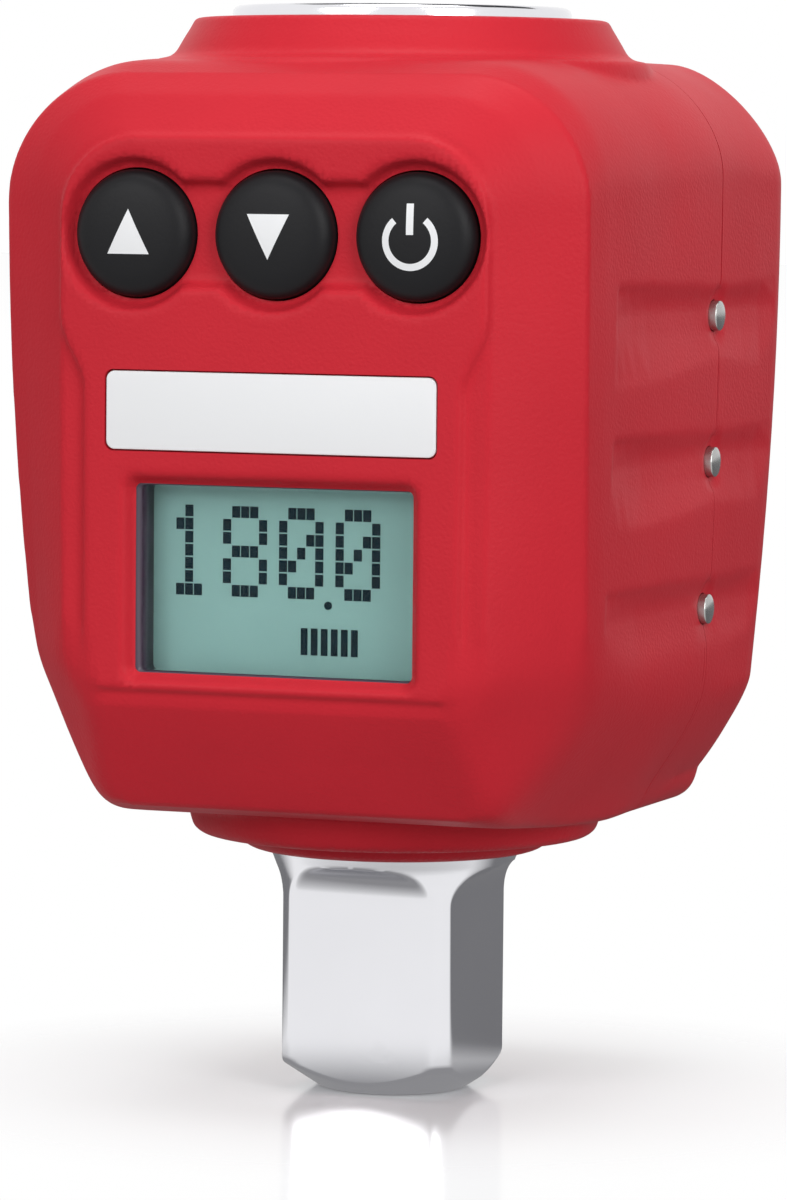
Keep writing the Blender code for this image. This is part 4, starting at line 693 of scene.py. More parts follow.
def spindle(chrome):
    """Male square, gauged neck and female head as one steel piece."""
    steps, far = 288, 30 * MM
    groove = SEAL_T + 0.3 * MM
    lower = [(0.3 * MM, 0), (5.2 * MM, 0), (8.25 * MM, 2.0 * MM), (8.25 * MM, 15.2 * MM), (8.4 * MM, 15.9 * MM),
             (JOURNAL_R, 17.05 * MM)]
    male = dense(eased(lower, 0.35 * MM), 0.16 * MM)
    upper = [(JOURNAL_R, LOWER_SEAL_Z - 1.1 * MM), (JOURNAL_R - groove, LOWER_SEAL_Z - 1.1 * MM),
             (JOURNAL_R - groove, LOWER_SEAL_Z + 1.1 * MM), (JOURNAL_R, LOWER_SEAL_Z + 1.1 * MM),
             (JOURNAL_R, 25.1 * MM), (7.5 * MM, 26.2 * MM), (7.0 * MM, 28.1 * MM), (7.0 * MM, 53.6 * MM),
             (8.2 * MM, 55.6 * MM), (HEAD_R - 1 * MM, 56.6 * MM), (HEAD_R, 57.6 * MM),
             (HEAD_R, UPPER_SEAL_Z - 1.1 * MM), (HEAD_R - groove, UPPER_SEAL_Z - 1.1 * MM),
             (HEAD_R - groove, UPPER_SEAL_Z + 1.1 * MM), (HEAD_R, UPPER_SEAL_Z + 1.1 * MM), (HEAD_R, HEAD_TOP),
             (9.5 * MM, HEAD_TOP)]
    rings = [spindle_ring(r, flat_distance(z), z, steps, 0.22 * MM) for r, z in male]
    rings += [spindle_ring(r, far, z, steps, 0.1 * MM) for r, z in eased(upper, 0.55 * MM, 6)]
    mouth, floor, snap = SOCKET_MOUTH_R, HEAD_TOP - SOCKET_DEPTH, HEAD_TOP - 8 * MM
    inner = dense(eased([(mouth, HEAD_TOP), (mouth - 0.25 * MM, HEAD_TOP - 0.25 * MM), (8.9 * MM, HEAD_TOP - 1.6 * MM),
                         (8.75 * MM, HEAD_TOP - 2.4 * MM), (8.75 * MM, floor)], 0.2 * MM), 0.4 * MM)
    rings += [spindle_ring(r, SOCKET_SQUARE / 2, z, steps, 0.25 * MM)
              if not snap - 1.5 * MM < z < snap + 1.5 * MM else
              [(max(math.hypot(x, y), 7.6 * MM) * x / math.hypot(x, y),
                max(math.hypot(x, y), 7.6 * MM) * y / math.hypot(x, y), z)
               for x, y, _ in spindle_ring(r, SOCKET_SQUARE / 2, z, steps, 0.25 * MM)] for r, z in inner]
    rings.append(spindle_ring(0.3 * MM, far, floor, steps, 0.1 * MM))
    piece = loft("torque_spindle", rings, [chrome])
    combine(piece, rod("detent_bore", 2.3 * MM, 0.6 * MM, 12 * MM, axis="Y", steps=64, at=(0, 0, BALL_Z)),
            rod("pin_bore", 1.52 * MM, HEAD_R - 2.2 * MM, 15 * MM, axis="Y", steps=48, at=(0, 0, 64 * MM)))
    piece.data.shade_smooth()
    piece.data.set_sharp_from_angle(angle=math.radians(32))
    hand_over(piece, "housing", "chrome_steel", "drive_body")


def seal_rings(rubber):
    """Black sealing rings in the spindle's two grooves."""
    rings = []
    for name, radius, z in (("head_seal", HEAD_R, UPPER_SEAL_Z), ("journal_seal", JOURNAL_R, LOWER_SEAL_Z)):
        inner = radius - SEAL_T
        outline = [(inner, z - 0.8 * MM), (radius, z - 0.8 * MM), (radius, z + 0.8 * MM), (inner, z + 0.8 * MM)]
        rounded = eased(outline + [outline[0]], 0.28 * MM)
        rings.append(turned(name, rounded[:-1], [rubber], steps=128))
    for ring, cad_name in zip(rings, ("upper_seal", "lower_seal")):
        hand_over(ring, "housing", "black_rubber", cad_name)


def detent_ball(steel):
    piece = turned("sprung_ball", [(2 * MM * math.sin(math.pi * i / 32), -2 * MM * math.cos(math.pi * i / 32))
                                   for i in range(33)], [steel], steps=64, axis="Y")
    piece.data.transform(Matrix.Translation((0, DRIVE_SQUARE / 2 + BALL_PROUD - 2 * MM, BALL_Z)))
    hand_over(piece, "detent_ball", "bright_steel", "detent_ball")


def ball_spring(steel):
    """Coil behind the ball, filling the box of the CAD spring."""
    wire, turns, steps = 0.22 * MM, 3.5, 20
    (x0, low, z0), (x1, high, z1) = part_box("detent_spring")
    coil = (x1 - x0) / 2 - wire
    rings = []
    for i in range(int(turns * steps) + 1):
        turn = 2 * math.pi * i / steps
        outward = Vector((math.cos(turn), 0, -math.sin(turn)))
        centre = coil * outward + Vector((0, low + wire + (high - low - 2 * wire) * i / (turns * steps), BALL_Z))
        rings.append([centre + wire * (outward * math.cos(a) + Vector((0, math.sin(a), 0)))
                      for a in (2 * math.pi * k / 12 for k in range(12))])
    piece = loft("ball_spring", rings, [steel])
    hand_over(piece, "housing", "bright_steel", "detent_spring")
    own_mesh(piece)


# Buttons

def crown_y(r):
    """Place along Y of a cap's domed face at a distance r from its axis."""
    q = min(r / BUTTON_R, 1.0)
    return PANEL_Y + (-0.55 + 0.45 * q ** 2 + 0.77 * q ** 10) * MM


def draped_line(path, width, x0, closed=False, across=4):
    """Printed line along a path of (x, z) points, laid thinly over a cap's dome."""
    path = [Vector(point) for point in path]
    count = len(path)
    rows = []
    for i, point in enumerate(path):
        before = path[i - 1] if closed or i else point
        after = path[(i + 1) % count] if closed or i < count - 1 else point
        into, away = (point - before), (after - point)
        into = into.normalized() if into.length > 1e-9 else away.normalized()
        away = away.normalized() if away.length > 1e-9 else into
        middle = (into + away).normalized()
        normal = Vector((-middle.y, middle.x))
        stretch = 1 / max(middle.dot(into), 0.35)
        rows.append([point + normal * stretch * width * (k / across - 0.5) for k in range(across + 1)])
    verts, faces = [], []
    for depth in (-0.02 * MM, 0.06 * MM):
        for row in rows:
            verts += [(x0 + p.x, crown_y(p.length) + depth, BUTTON_Z + p.y) for p in row]
    wide, layer = across + 1, len(rows) * (across + 1)
    for i in range(count if closed else count - 1):
        j = (i + 1) % count
        for k in range(across):
            a, b, c, d = i * wide + k, i * wide + k + 1, j * wide + k + 1, j * wide + k
            faces += [(a, b, c, d), (a + layer, d + layer, c + layer, b + layer)]
        for k in (0, across):
            a, d = i * wide + k, j * wide + k
            faces.append((a, d, d + layer, a + layer))
    if not closed:
        for i in (0, count - 1):
            for k in range(across):
                a, b = i * wide + k, i * wide + k + 1
                faces.append((a, b, b + layer, a + layer))
    return add_object("printed_line", verts, faces)


def straight(points, closed=False, steps=10):
    """Points along a line through given corners, close enough together to follow a dome."""
    ends = points + points[:1] if closed else points
    path = []
    for (x0, z0), (x1, z1) in zip(ends, ends[1:]):
        path += [(x0 + (x1 - x0) * i / steps, z0 + (z1 - z0) * i / steps) for i in range(steps)]
    return path if closed else path + [ends[-1]]


def draped_triangle(corners, x0, steps=10):
    """Printed filled triangle laid thinly over a cap's dome."""
    a, b, c = (Vector(corner) for corner in corners)
    points = [a + (b - a) * (i - j) / steps + (c - a) * j / steps for i in range(steps + 1) for j in range(i + 1)]
    at = [[i * (i + 1) // 2 + j for j in range(i + 1)] for i in range(steps + 1)]
    verts = [(x0 + p.x, crown_y(p.length) + depth, BUTTON_Z + p.y) for depth in (-0.02 * MM, 0.06 * MM)
             for p in points]
    faces = [(at[i][j], at[i + 1][j], at[i + 1][j + 1]) for i in range(steps) for j in range(i + 1)]
    faces += [(at[i][j], at[i + 1][j + 1], at[i][j + 1]) for i in range(steps) for j in range(i)]
    layer = len(points)
    faces += [tuple(k + layer for k in reversed(face)) for face in faces]
    rim = [at[i][0] for i in range(steps)] + at[steps][:-1] + [at[i][i] for i in range(steps, 0, -1)]
    faces += [(i, j, j + layer, i + layer) for i, j in zip(rim, rim[1:] + rim[:1])]
    return add_object("printed_triangle", verts, faces)


def sign_lines(word, x):
    """Printed sign of one button: an up or down triangle, or the common power sign."""
    if word in ("up", "down"):
        way = 1 if word == "up" else -1
        return [draped_triangle([(-1.5 * MM, way * -1.38 * MM), (1.5 * MM, way * -1.38 * MM), (0.0, way * 1.62 * MM)], x)]
    arc = [(1.72 * MM * math.sin(math.radians(a)), -0.25 * MM + 1.72 * MM * math.cos(math.radians(a)))
           for a in range(38, 323, 6)]
    return [draped_line(arc, 0.46 * MM, x), draped_line(straight([(0, 2.2 * MM), (0, 0.15 * MM)]), 0.5 * MM, x)]


def button_caps(rubber, white):
    """Domed black caps with their printed signs."""
    back = BODY_FRONT + WALL + 0.3 * MM
    stem_end = BOARD_FRONT_Y - 2.8 * MM
    for word, x in BUTTON_X.items():
        face = [(BUTTON_R * i / 40, crown_y(BUTTON_R * i / 40)) for i in range(40)]
        skirt = [(BUTTON_R, crown_y(BUTTON_R) + 0.1 * MM), (BUTTON_R, back), (BUTTON_R + 0.5 * MM, back),
                 (BUTTON_R + 0.5 * MM, back + 0.7 * MM), (1.1 * MM, back + 0.7 * MM), (1.1 * MM, stem_end),
                 (0, stem_end)]
        cap = turned(f"cap_{word}", face + skirt, [rubber], steps=128, axis="Y", at=(x, 0, BUTTON_Z))
        hand_over(cap, f"button_{word}", "black_rubber", f"button_{word}")
        sign = merge_meshes(f"sign_{word}", *sign_lines(word, x))
        sign.data.materials.append(white)
        sign.data.shade_smooth()
        sign.data.set_sharp_from_angle(angle=math.radians(40))
        hand_over(sign, f"button_{word}", "white_label")


# Label, lens and display

def soft_plate(name, half_w, bottom, top, corner, front, back, materials, edge=0.08 * MM):
    """Flat plate whose front edges are rounded."""
    rings = []
    for i in range(6):
        turn = math.radians(90 * i / 5)
        inset, y = edge * (1 - math.sin(turn)), front + edge * (1 - math.cos(turn))
        rings.append([(x, y, z) for x, z in rounded_rectangle(half_w - inset, bottom + inset, top - inset,
                                                              max(corner - inset, 0.05 * MM))])
    rings.append([(x, back, z) for x, _, z in rings[-1]])
    return loft(name, rings, materials)


def label(white):
    front = PANEL_Y + 0.05 * MM
    plate_piece = soft_plate("bare_label", LABEL_W / 2, LABEL_Z - LABEL_H / 2, LABEL_Z + LABEL_H / 2, 0.6 * MM,
                             front, front + 0.35 * MM, [white])
    hand_over(plate_piece, "housing", "white_label", "label_plate")


def lens(clear):
    """Clear window, set a little below the panel in the sloping frame."""
    piece = soft_plate("clear_lens", WINDOW_W / 2 - 0.14 * MM, WINDOW_Z - WINDOW_H / 2 + 0.14 * MM,
                       WINDOW_Z + WINDOW_H / 2 - 0.14 * MM, 0.35 * MM, LENS_Y - 0.1 * MM, LENS_Y + 1.2 * MM, [clear],
                       edge=0.12 * MM)
    hand_over(piece, "housing", "clear_window", "display_window")


def window_sleeve(dark):
    """Dark tray edge that lines the opening from the sloping frame down to the display; its dark colour is partly
    painted shade on the opening's walls, and its wider left wall is painted shade along the display's left margin.
    """
    half_w, low, high = WINDOW_W / 2 + 0.35 * MM, WINDOW_Z - WINDOW_H / 2 - 0.35 * MM, WINDOW_Z + WINDOW_H / 2 + 0.35 * MM
    piece = plate("display_sleeve", rounded_rectangle(half_w, low, high, 0.7 * MM), LENS_Y - 0.35 * MM,
                  LCD_Y - 0.02 * MM, [dark])
    inside = 0.42 * MM
    # Opening set 0.25 mm to the right, so that the wider left wall is painted shade along the display's left margin.
    hole = [(x + 0.25 * MM, z) for x, z in rounded_rectangle(half_w - inside, low + inside, high - inside, 0.35 * MM)]
    combine(piece, plate("sleeve_inside", hole, LENS_Y - 2 * MM, LCD_Y + 2 * MM))
    hand_over(piece, "housing", "dark_moulding")


def repeat_nodes(name):
    """Geometry nodes that set one shape on each point of a mesh."""
    tree = bpy.data.node_groups.new(name, "GeometryNodeTree")
    for label_text, kind in (("Points", "Geometry"), ("Shape", "Object"), ("Finish", "Material")):
        tree.interface.new_socket(label_text, in_out="INPUT", socket_type=f"NodeSocket{kind}")
    tree.interface.new_socket("Pieces", in_out="OUTPUT", socket_type="NodeSocketGeometry")
    given, out = tree.nodes.new("NodeGroupInput").outputs, tree.nodes.new("NodeGroupOutput").inputs
    shape = tree.nodes.new("GeometryNodeObjectInfo")
    spread = tree.nodes.new("GeometryNodeInstanceOnPoints")
    real = tree.nodes.new("GeometryNodeRealizeInstances")
    paint = tree.nodes.new("GeometryNodeSetMaterial")
    tree.links.new(given["Shape"], shape.inputs["Object"])
    tree.links.new(given["Points"], spread.inputs["Points"])
    tree.links.new(shape.outputs["Geometry"], spread.inputs["Instance"])
    tree.links.new(spread.outputs["Instances"], real.inputs["Geometry"])
    tree.links.new(real.outputs["Geometry"], paint.inputs["Geometry"])
    tree.links.new(given["Finish"], paint.inputs["Material"])
    tree.links.new(paint.outputs["Geometry"], out["Pieces"])
    return tree


REPEAT = repeat_nodes("repeat_shape")


def repeated(name, shape, places, material):
    """One object with a copy of the shape at each place; the shape is used up."""
    piece = add_object(name, places, [], smooth=False)
    step = piece.modifiers.new("Repeat", "NODES")
    step.node_group = REPEAT
    sockets = {item.name: item.identifier for item in REPEAT.interface.items_tree if item.in_out == "INPUT"}
    step[sockets["Shape"]] = shape
    step[sockets["Finish"]] = material
    settle(piece)
    discard(shape)
    return piece


DIGITS = {
    "1": ("..#..", ".##..", "..#..", "..#..", "..#..", "..#..", ".###."),
    "8": (".###.", "#...#", "#...#", ".###.", "#...#", "#...#", ".###."),
    "0": (".###.", "#...#", "#..##", "#.#.#", "##..#", "#...#", ".###."),
}


def display_marks(ink):
    """Dot-matrix reading with its point, and a row of level bars under it."""
    front = LCD_Y - 0.03 * MM
    column, row = 0.65 * MM, 0.88 * MM
    left, top = -8.35 * MM, 41.4 * MM
    dots = [(left + i * 4.05 * MM + c * column, front, top - r * row)
            for i, digit in enumerate("1800") for r, line in enumerate(DIGITS[digit])
            for c, mark in enumerate(line) if mark == "#"]
    dot = block("dot_cell", (-0.29 * MM, 0, -0.39 * MM), (0.29 * MM, 0.05 * MM, 0.39 * MM), [ink])
    reading = repeated("display_reading", dot, dots, ink)
    point = rod("display_point", 0.28 * MM, front, front + 0.05 * MM, [ink], steps=24, axis="Y",
                at=(3.0 * MM, 0, 35.35 * MM))
    bar = block("level_cell", (-0.24 * MM, 0, -0.9 * MM), (0.24 * MM, 0.05 * MM, 0.9 * MM), [ink])
    bars = repeated("display_level", bar, [(1.3 * MM + i * 0.72 * MM, front, 32.9 * MM) for i in range(6)], ink)
    piece = merge_meshes("display_marks", reading, point, bars)
    piece.data.materials.append(ink)
    hand_over(piece, "housing", "display_glass")


# Lamps and screws

def lamp_shape(chrome_lens):
    """One lamp, pointing along +X from its tip at the origin."""
    outline = [(0, -3 * MM), (LAMP_R, -3 * MM), (LAMP_R, -0.25 * MM)]
    outline += [(LAMP_R * math.cos(math.radians(a)), -0.25 * MM + 0.25 * MM * math.sin(math.radians(a)))
                for a in range(8, 90, 8)]
    return turned("lamp_form", outline + [(0, 0)], [chrome_lens], steps=48, axis="X")


def side_lamps(lens_finish):
    for side, word in ((1, "right"), (-1, "left")):
        shape = lamp_shape(lens_finish)
        if side < 0:
            shape.data.transform(Matrix.Scale(-1, 4, (1, 0, 0)))
            shape.data.flip_normals()
        places = [(side * (side_x(z) + LAMP_RISE), SEAM_Y, z) for z in LAMP_Z]
        piece = repeated(f"{word}_lamps", shape, places, lens_finish)
        hand_over(piece, "housing", "lamp_lens", *(f"lamp_{word}_{i}" for i in (1, 2, 3)))


def screw_shape(radius, head_r, head_h, length, slot, steel):
    """Pan-head screw along Y with its seat at the origin and a cross slot in its rounded head."""
    outline = [(0, -length), (0.35 * radius, -length), (radius, -length + 1.2 * radius)]
    pitch = 0.45 * radius
    z = -length + 1.2 * radius
    while z < -1.6 * pitch:
        outline += [(0.8 * radius, z + 0.35 * pitch), (radius, z + 0.7 * pitch)]
        z += pitch
    outline += [(radius, 0), (head_r, 0)]
    outline += [(head_r * math.cos(math.radians(a)) ** 0.6, head_h * (0.35 + 0.65 * math.sin(math.radians(a))))
                for a in range(0, 90, 10)]
    screw = turned("screw_form", outline + [(0, head_h)], [steel], steps=48, axis="Y")
    half, reach = slot / 2, 0.6 * head_r
    cross = [block("slot_a", (-reach, head_h - 1.6 * slot, -half), (reach, head_h + 1 * MM, half)),
             block("slot_b", (-half, head_h - 1.6 * slot, -reach), (half, head_h + 1 * MM, reach))]
    return combine(screw, *cross, solver="EXACT")


def screws(steel):
    seat = SCREW_SEAT_Y + 0.15 * MM
    shape = screw_shape(1.1 * MM, 1.7 * MM, 1.3 * MM, 12.9 * MM, 0.45 * MM, steel)
    piece = repeated("housing_screws", shape, [(x, seat, z) for x, z in screw_places()], steel)
    piece.data.shade_smooth()
    piece.data.set_sharp_from_angle(angle=math.radians(35))
    hand_over(piece, "housing", "bright_steel", *(f"housing_screw_{i}" for i in (1, 2, 3, 4)))


# Materials

def srgb(red, green, blue):
    """Linear colour of an ordinary 0-255 screen colour."""
    return tuple(c / 12.92 if c <= 0.04045 else ((c + 0.055) / 1.055) ** 2.4
                 for c in (red / 255, green / 255, blue / 255)) + (1.0,)


def effect_group(name, inputs, outputs):
    """Empty shader group with float inputs (label: default) and outputs (label: kind)."""
    tree = bpy.data.node_groups.new(name, "ShaderNodeTree")
    for label, default in inputs.items():
        tree.interface.new_socket(label, in_out="INPUT", socket_type="NodeSocketFloat").default_value = default
    for label, kind in outputs.items():
        tree.interface.new_socket(label, in_out="OUTPUT", socket_type=f"NodeSocket{kind}")
    return tree, tree.nodes.new("NodeGroupInput").outputs, tree.nodes.new("NodeGroupOutput").inputs


def node(tree, kind, links=(), **values):
    """Adds a node, sets its properties and sockets, and links (socket, source) pairs into it."""
    made = tree.nodes.new(f"ShaderNode{kind}")
    for label, value in values.items():
        if hasattr(made, label):
            setattr(made, label, value)
    for socket, value in links:
        target = made.inputs[socket]
        if isinstance(value, bpy.types.NodeSocket):
            tree.links.new(value, target)
        else:
            target.default_value = value
    return made


def grain_group():
    """Fine spark-eroded grain of a moulding: a height, and a mask of broad blotches that dulls the surface."""
    tree, given, out = effect_group("moulded_grain", {"Scale": 4200.0, "Blotch": 0.5},
                                    {"Height": "Float", "Dull": "Float"})
    place = node(tree, "TexCoord").outputs["Object"]
    fine = node(tree, "TexNoise", [("Vector", place), ("Scale", given["Scale"]), ("Detail", 3.0), ("Roughness", 0.6)])
    pits = node(tree, "TexVoronoi", [("Vector", place), ("Scale", given["Scale"])], feature="SMOOTH_F1")
    height = node(tree, "Math", [(0, fine.outputs[0]), (1, pits.outputs["Distance"])], operation="SUBTRACT")
    broad = node(tree, "TexNoise", [("Vector", place), ("Scale", 90.0), ("Detail", 4.0)])
    blotch = node(tree, "MapRange", [("Value", broad.outputs[0]), ("From Min", 0.35), ("From Max", 0.7)])
    dull = node(tree, "Math", [(0, blotch.outputs[0]), (1, given["Blotch"])], operation="MULTIPLY")
    tree.links.new(height.outputs[0], out["Height"])
    tree.links.new(dull.outputs[0], out["Dull"])
    return tree


def scratch_group():
    """Hairlines in one direction, crossed by a few handling marks."""
    tree, given, out = effect_group("fine_scratches", {"Scale": 900.0, "Stretch": 0.04, "Marks": 0.5},
                                    {"Height": "Float", "Dull": "Float"})
    place = node(tree, "TexCoord").outputs["Object"]
    squeeze = node(tree, "CombineXYZ", [("X", 1.0), ("Y", 1.0), ("Z", given["Stretch"])])
    along = node(tree, "VectorMath", [(0, place), (1, squeeze.outputs[0])], operation="MULTIPLY")
    hair = node(tree, "TexNoise", [("Vector", along.outputs[0]), ("Scale", given["Scale"]), ("Detail", 4.0)])
    turned_place = node(tree, "Mapping", [("Vector", place), ("Rotation", (0.5, 0.9, 0.3)), ("Scale", (1.0, 0.05, 1.0))])
    marks = node(tree, "TexNoise", [("Vector", turned_place.outputs[0]), ("Scale", 420.0), ("Detail", 6.0)])
    sharp = node(tree, "MapRange", [("Value", marks.outputs[0]), ("From Min", 0.60), ("From Max", 0.72)])
    dull = node(tree, "Math", [(0, sharp.outputs[0]), (1, given["Marks"])], operation="MULTIPLY")
    height = node(tree, "Math", [(0, hair.outputs[0]), (1, dull.outputs[0])], operation="SUBTRACT")
    tree.links.new(height.outputs[0], out["Height"])
    tree.links.new(dull.outputs[0], out["Dull"])
    return tree


def tone_group():
    """Slow drift of tone over a surface, from 1 - Amount to 1 + Amount."""
    tree, given, out = effect_group("tone_drift", {"Scale": 60.0, "Amount": 0.06}, {"Tone": "Float"})
    place = node(tree, "TexCoord").outputs["Object"]
    cloud = node(tree, "TexNoise", [("Vector", place), ("Scale", given["Scale"]), ("Detail", 5.0)])
    low = node(tree, "Math", [(0, 1.0), (1, given["Amount"])], operation="SUBTRACT")
    high = node(tree, "Math", [(0, 1.0), (1, given["Amount"])], operation="ADD")
    tone = node(tree, "MapRange", [("Value", cloud.outputs[0]), ("From Min", 0.3), ("From Max", 0.7),
                                   ("To Min", low.outputs[0]), ("To Max", high.outputs[0])])
    tree.links.new(tone.outputs[0], out["Tone"])
    return tree


GROUPS = {"grain": grain_group(), "scratch": scratch_group(), "tone": tone_group()}


def finish(name, color, roughness, *, metallic=0.0, relief="grain", scale=4200.0, depth=0.02, dull=0.1,
           drift=0.05, **fixed):
    """Material with a tone that drifts, a relief from one of the groups, and a roughness that follows it."""
    mat = bpy.data.materials.new(name)
    mat.use_nodes = True
    tree = mat.node_tree
    shader = tree.nodes["Principled BSDF"]
    shader.inputs["Metallic"].default_value = metallic
    for label, value in fixed.items():
        shader.inputs[label.replace("_", " ")].default_value = value
    texture = node(tree, "Group", node_tree=GROUPS[relief])
    texture.inputs["Scale"].default_value = scale
    tone = node(tree, "Group", node_tree=GROUPS["tone"])
    tone.inputs["Amount"].default_value = drift
    tint = node(tree, "VectorMath", [(0, color[:3]), ("Scale", tone.outputs["Tone"])], operation="SCALE")
    tree.links.new(tint.outputs[0], shader.inputs["Base Color"])
    rough = node(tree, "Math", [(0, texture.outputs["Dull"]), (1, dull), (2, roughness)], operation="MULTIPLY_ADD")
    tree.links.new(rough.outputs[0], shader.inputs["Roughness"])
    bump = node(tree, "Bump", [("Height", texture.outputs["Height"]), ("Strength", 1.0), ("Distance", depth * MM)])
    tree.links.new(bump.outputs[0], shader.inputs["Normal"])
    return mat


def object_finishes():
    return {
        "red": finish("red_moulding", srgb(200, 41, 53), 0.42, depth=0.014, dull=0.12, Specular_IOR_Level=0.10),
        "chrome": finish("chrome_steel", (0.80, 0.80, 0.83, 1), 0.13, metallic=1.0, relief="scratch", depth=0.002,
                         dull=0.10, drift=0.03),
        "steel": finish("bright_steel", (0.62, 0.62, 0.63, 1), 0.26, metallic=1.0, relief="scratch", depth=0.002,
                        dull=0.12),
        "rubber": finish("button_black", srgb(24, 24, 26), 0.45, depth=0.006, dull=0.1, Specular_IOR_Level=0.15),
        "dark": finish("dark_moulding", srgb(40, 40, 44), 0.5, depth=0.008),
        "white": finish("white_label", srgb(238, 239, 240), 0.35, depth=0.002, scale=2500.0, drift=0.01),
        "lcd": finish("display_glass", srgb(124, 160, 155), 0.5, depth=0.001, drift=0.03,
                      Specular_IOR_Level=0.1),
        "lamp": finish("lamp_lens", (0.45, 0.45, 0.44, 1), 0.22, metallic=0.9, depth=0.001, drift=0.03),
        "board": finish("board_green", srgb(20, 92, 52), 0.45, depth=0.006),
        "cream": finish("plug_cream", srgb(225, 214, 190), 0.45, depth=0.006),
        "foil": finish("gauge_foil", srgb(196, 140, 72), 0.3, metallic=0.4, relief="scratch", depth=0.002),
        "ink": finish("display_ink", srgb(10, 30, 38), 0.6, depth=0.001, drift=0.02, Specular_IOR_Level=0.05),
        # Sleeve: dark purple, partly painted shade of the opening's walls.
        "sleeve": finish("display_sleeve", srgb(62, 48, 66), 0.35, depth=0.002),
        "jacket": finish("cell_jacket", srgb(46, 60, 96), 0.3, depth=0.002),
    }


# Camera, light and floor

PHOTO_SIZE = (787, 1200)
FOCAL_PX = 5811.007
CAMERA_YAW, CAMERA_PITCH, CAMERA_ROLL = (math.radians(a) for a in (21.062, 4.397, 0.528))
CAMERA_OFFSET, CAMERA_AIM_Z, CAMERA_REACH = -0.242 * MM, 34.215 * MM, 407.636 * MM


def add_camera():
    """Camera at the photograph's place, square to no face: right, up and backward axes from its three angles."""
    right = Vector((math.cos(CAMERA_YAW), math.sin(CAMERA_YAW), 0))
    level = Vector((-math.sin(CAMERA_YAW), math.cos(CAMERA_YAW), 0))
    up_axis = Vector((0, 0, 1))
    forward = math.cos(CAMERA_PITCH) * level - math.sin(CAMERA_PITCH) * up_axis
    up = math.cos(CAMERA_PITCH) * up_axis + math.sin(CAMERA_PITCH) * level
    place = CAMERA_OFFSET * right + CAMERA_AIM_Z * up_axis - CAMERA_REACH * forward
    c, s = math.cos(CAMERA_ROLL), math.sin(CAMERA_ROLL)
    axes = (c * right + s * up, c * up - s * right, -forward)
    data = bpy.data.cameras.new("photo_camera")
    data.sensor_width = 36.0
    data.lens = 36.0 * FOCAL_PX / PHOTO_SIZE[1]
    data.clip_start, data.clip_end = 0.01, 10.0
    camera = bpy.data.objects.new("photo_camera", data)
    camera.matrix_world = Matrix.Translation(place) @ Matrix(axes).transposed().to_4x4()
    bpy.context.scene.collection.objects.link(camera)
    bpy.context.scene.camera = camera


def area_light(name, place, aim, size, power, shape="RECTANGLE", size_y=None):
    data = bpy.data.lights.new(name, "AREA")
    data.shape, data.size, data.size_y, data.energy = shape, size, size_y or size, power
    light = bpy.data.objects.new(name, data)
    light.location = place
    light.rotation_euler = (Vector(aim) - Vector(place)).to_track_quat("-Z", "Y").to_euler()
    bpy.context.scene.collection.objects.link(light)
    return light


def seen_directly(tree):
    """Factor that is 1 where a surface is seen by the camera, in a reflection or through glass."""
    path = node(tree, "LightPath")
    first = node(tree, "Math", [(0, path.outputs["Is Camera Ray"]), (1, path.outputs["Is Glossy Ray"])],
                 operation="MAXIMUM")
    return node(tree, "Math", [(0, first.outputs[0]), (1, path.outputs["Is Transmission Ray"])],
                operation="MAXIMUM").outputs[0]


def add_studio():
    world = bpy.data.worlds.new("studio")
    bpy.context.scene.world = world
    world.use_nodes = True
    tree = world.node_tree
    back = tree.nodes["Background"]
    shade = node(tree, "Mix", [("Factor", seen_directly(tree))], data_type="RGBA")
    shade.inputs["A"].default_value = (0.25, 0.25, 0.26, 1)
    shade.inputs["B"].default_value = (1, 1, 1, 1)
    tree.links.new(shade.outputs["Result"], back.inputs["Color"])

    floor = add_object("floor", [(-3, -3, 0), (3, -3, 0), (3, 3, 0), (-3, 3, 0)], [(0, 1, 2, 3)], smooth=False)
    floor.data.materials.append(white_table())
    floor.location.z = -0.00005

    area_light("key_box", (-0.25, -0.78, 0.40), (0, 0, 0.045), 0.5, 3.1, size_y=0.5)
    area_light("side_box", (0.66, -0.48, 0.36), (0, 0, 0.04), 0.4, 4.0, size_y=0.6)
    area_light("top_box", (0.0, 0.0, 0.8), (0, 0, 0.04), 0.5, 3.0)
    flag("high_flag", (0.0, 0.16, 0.34), (0, 0, 0.07), 0.36, 0.20, 0.05)


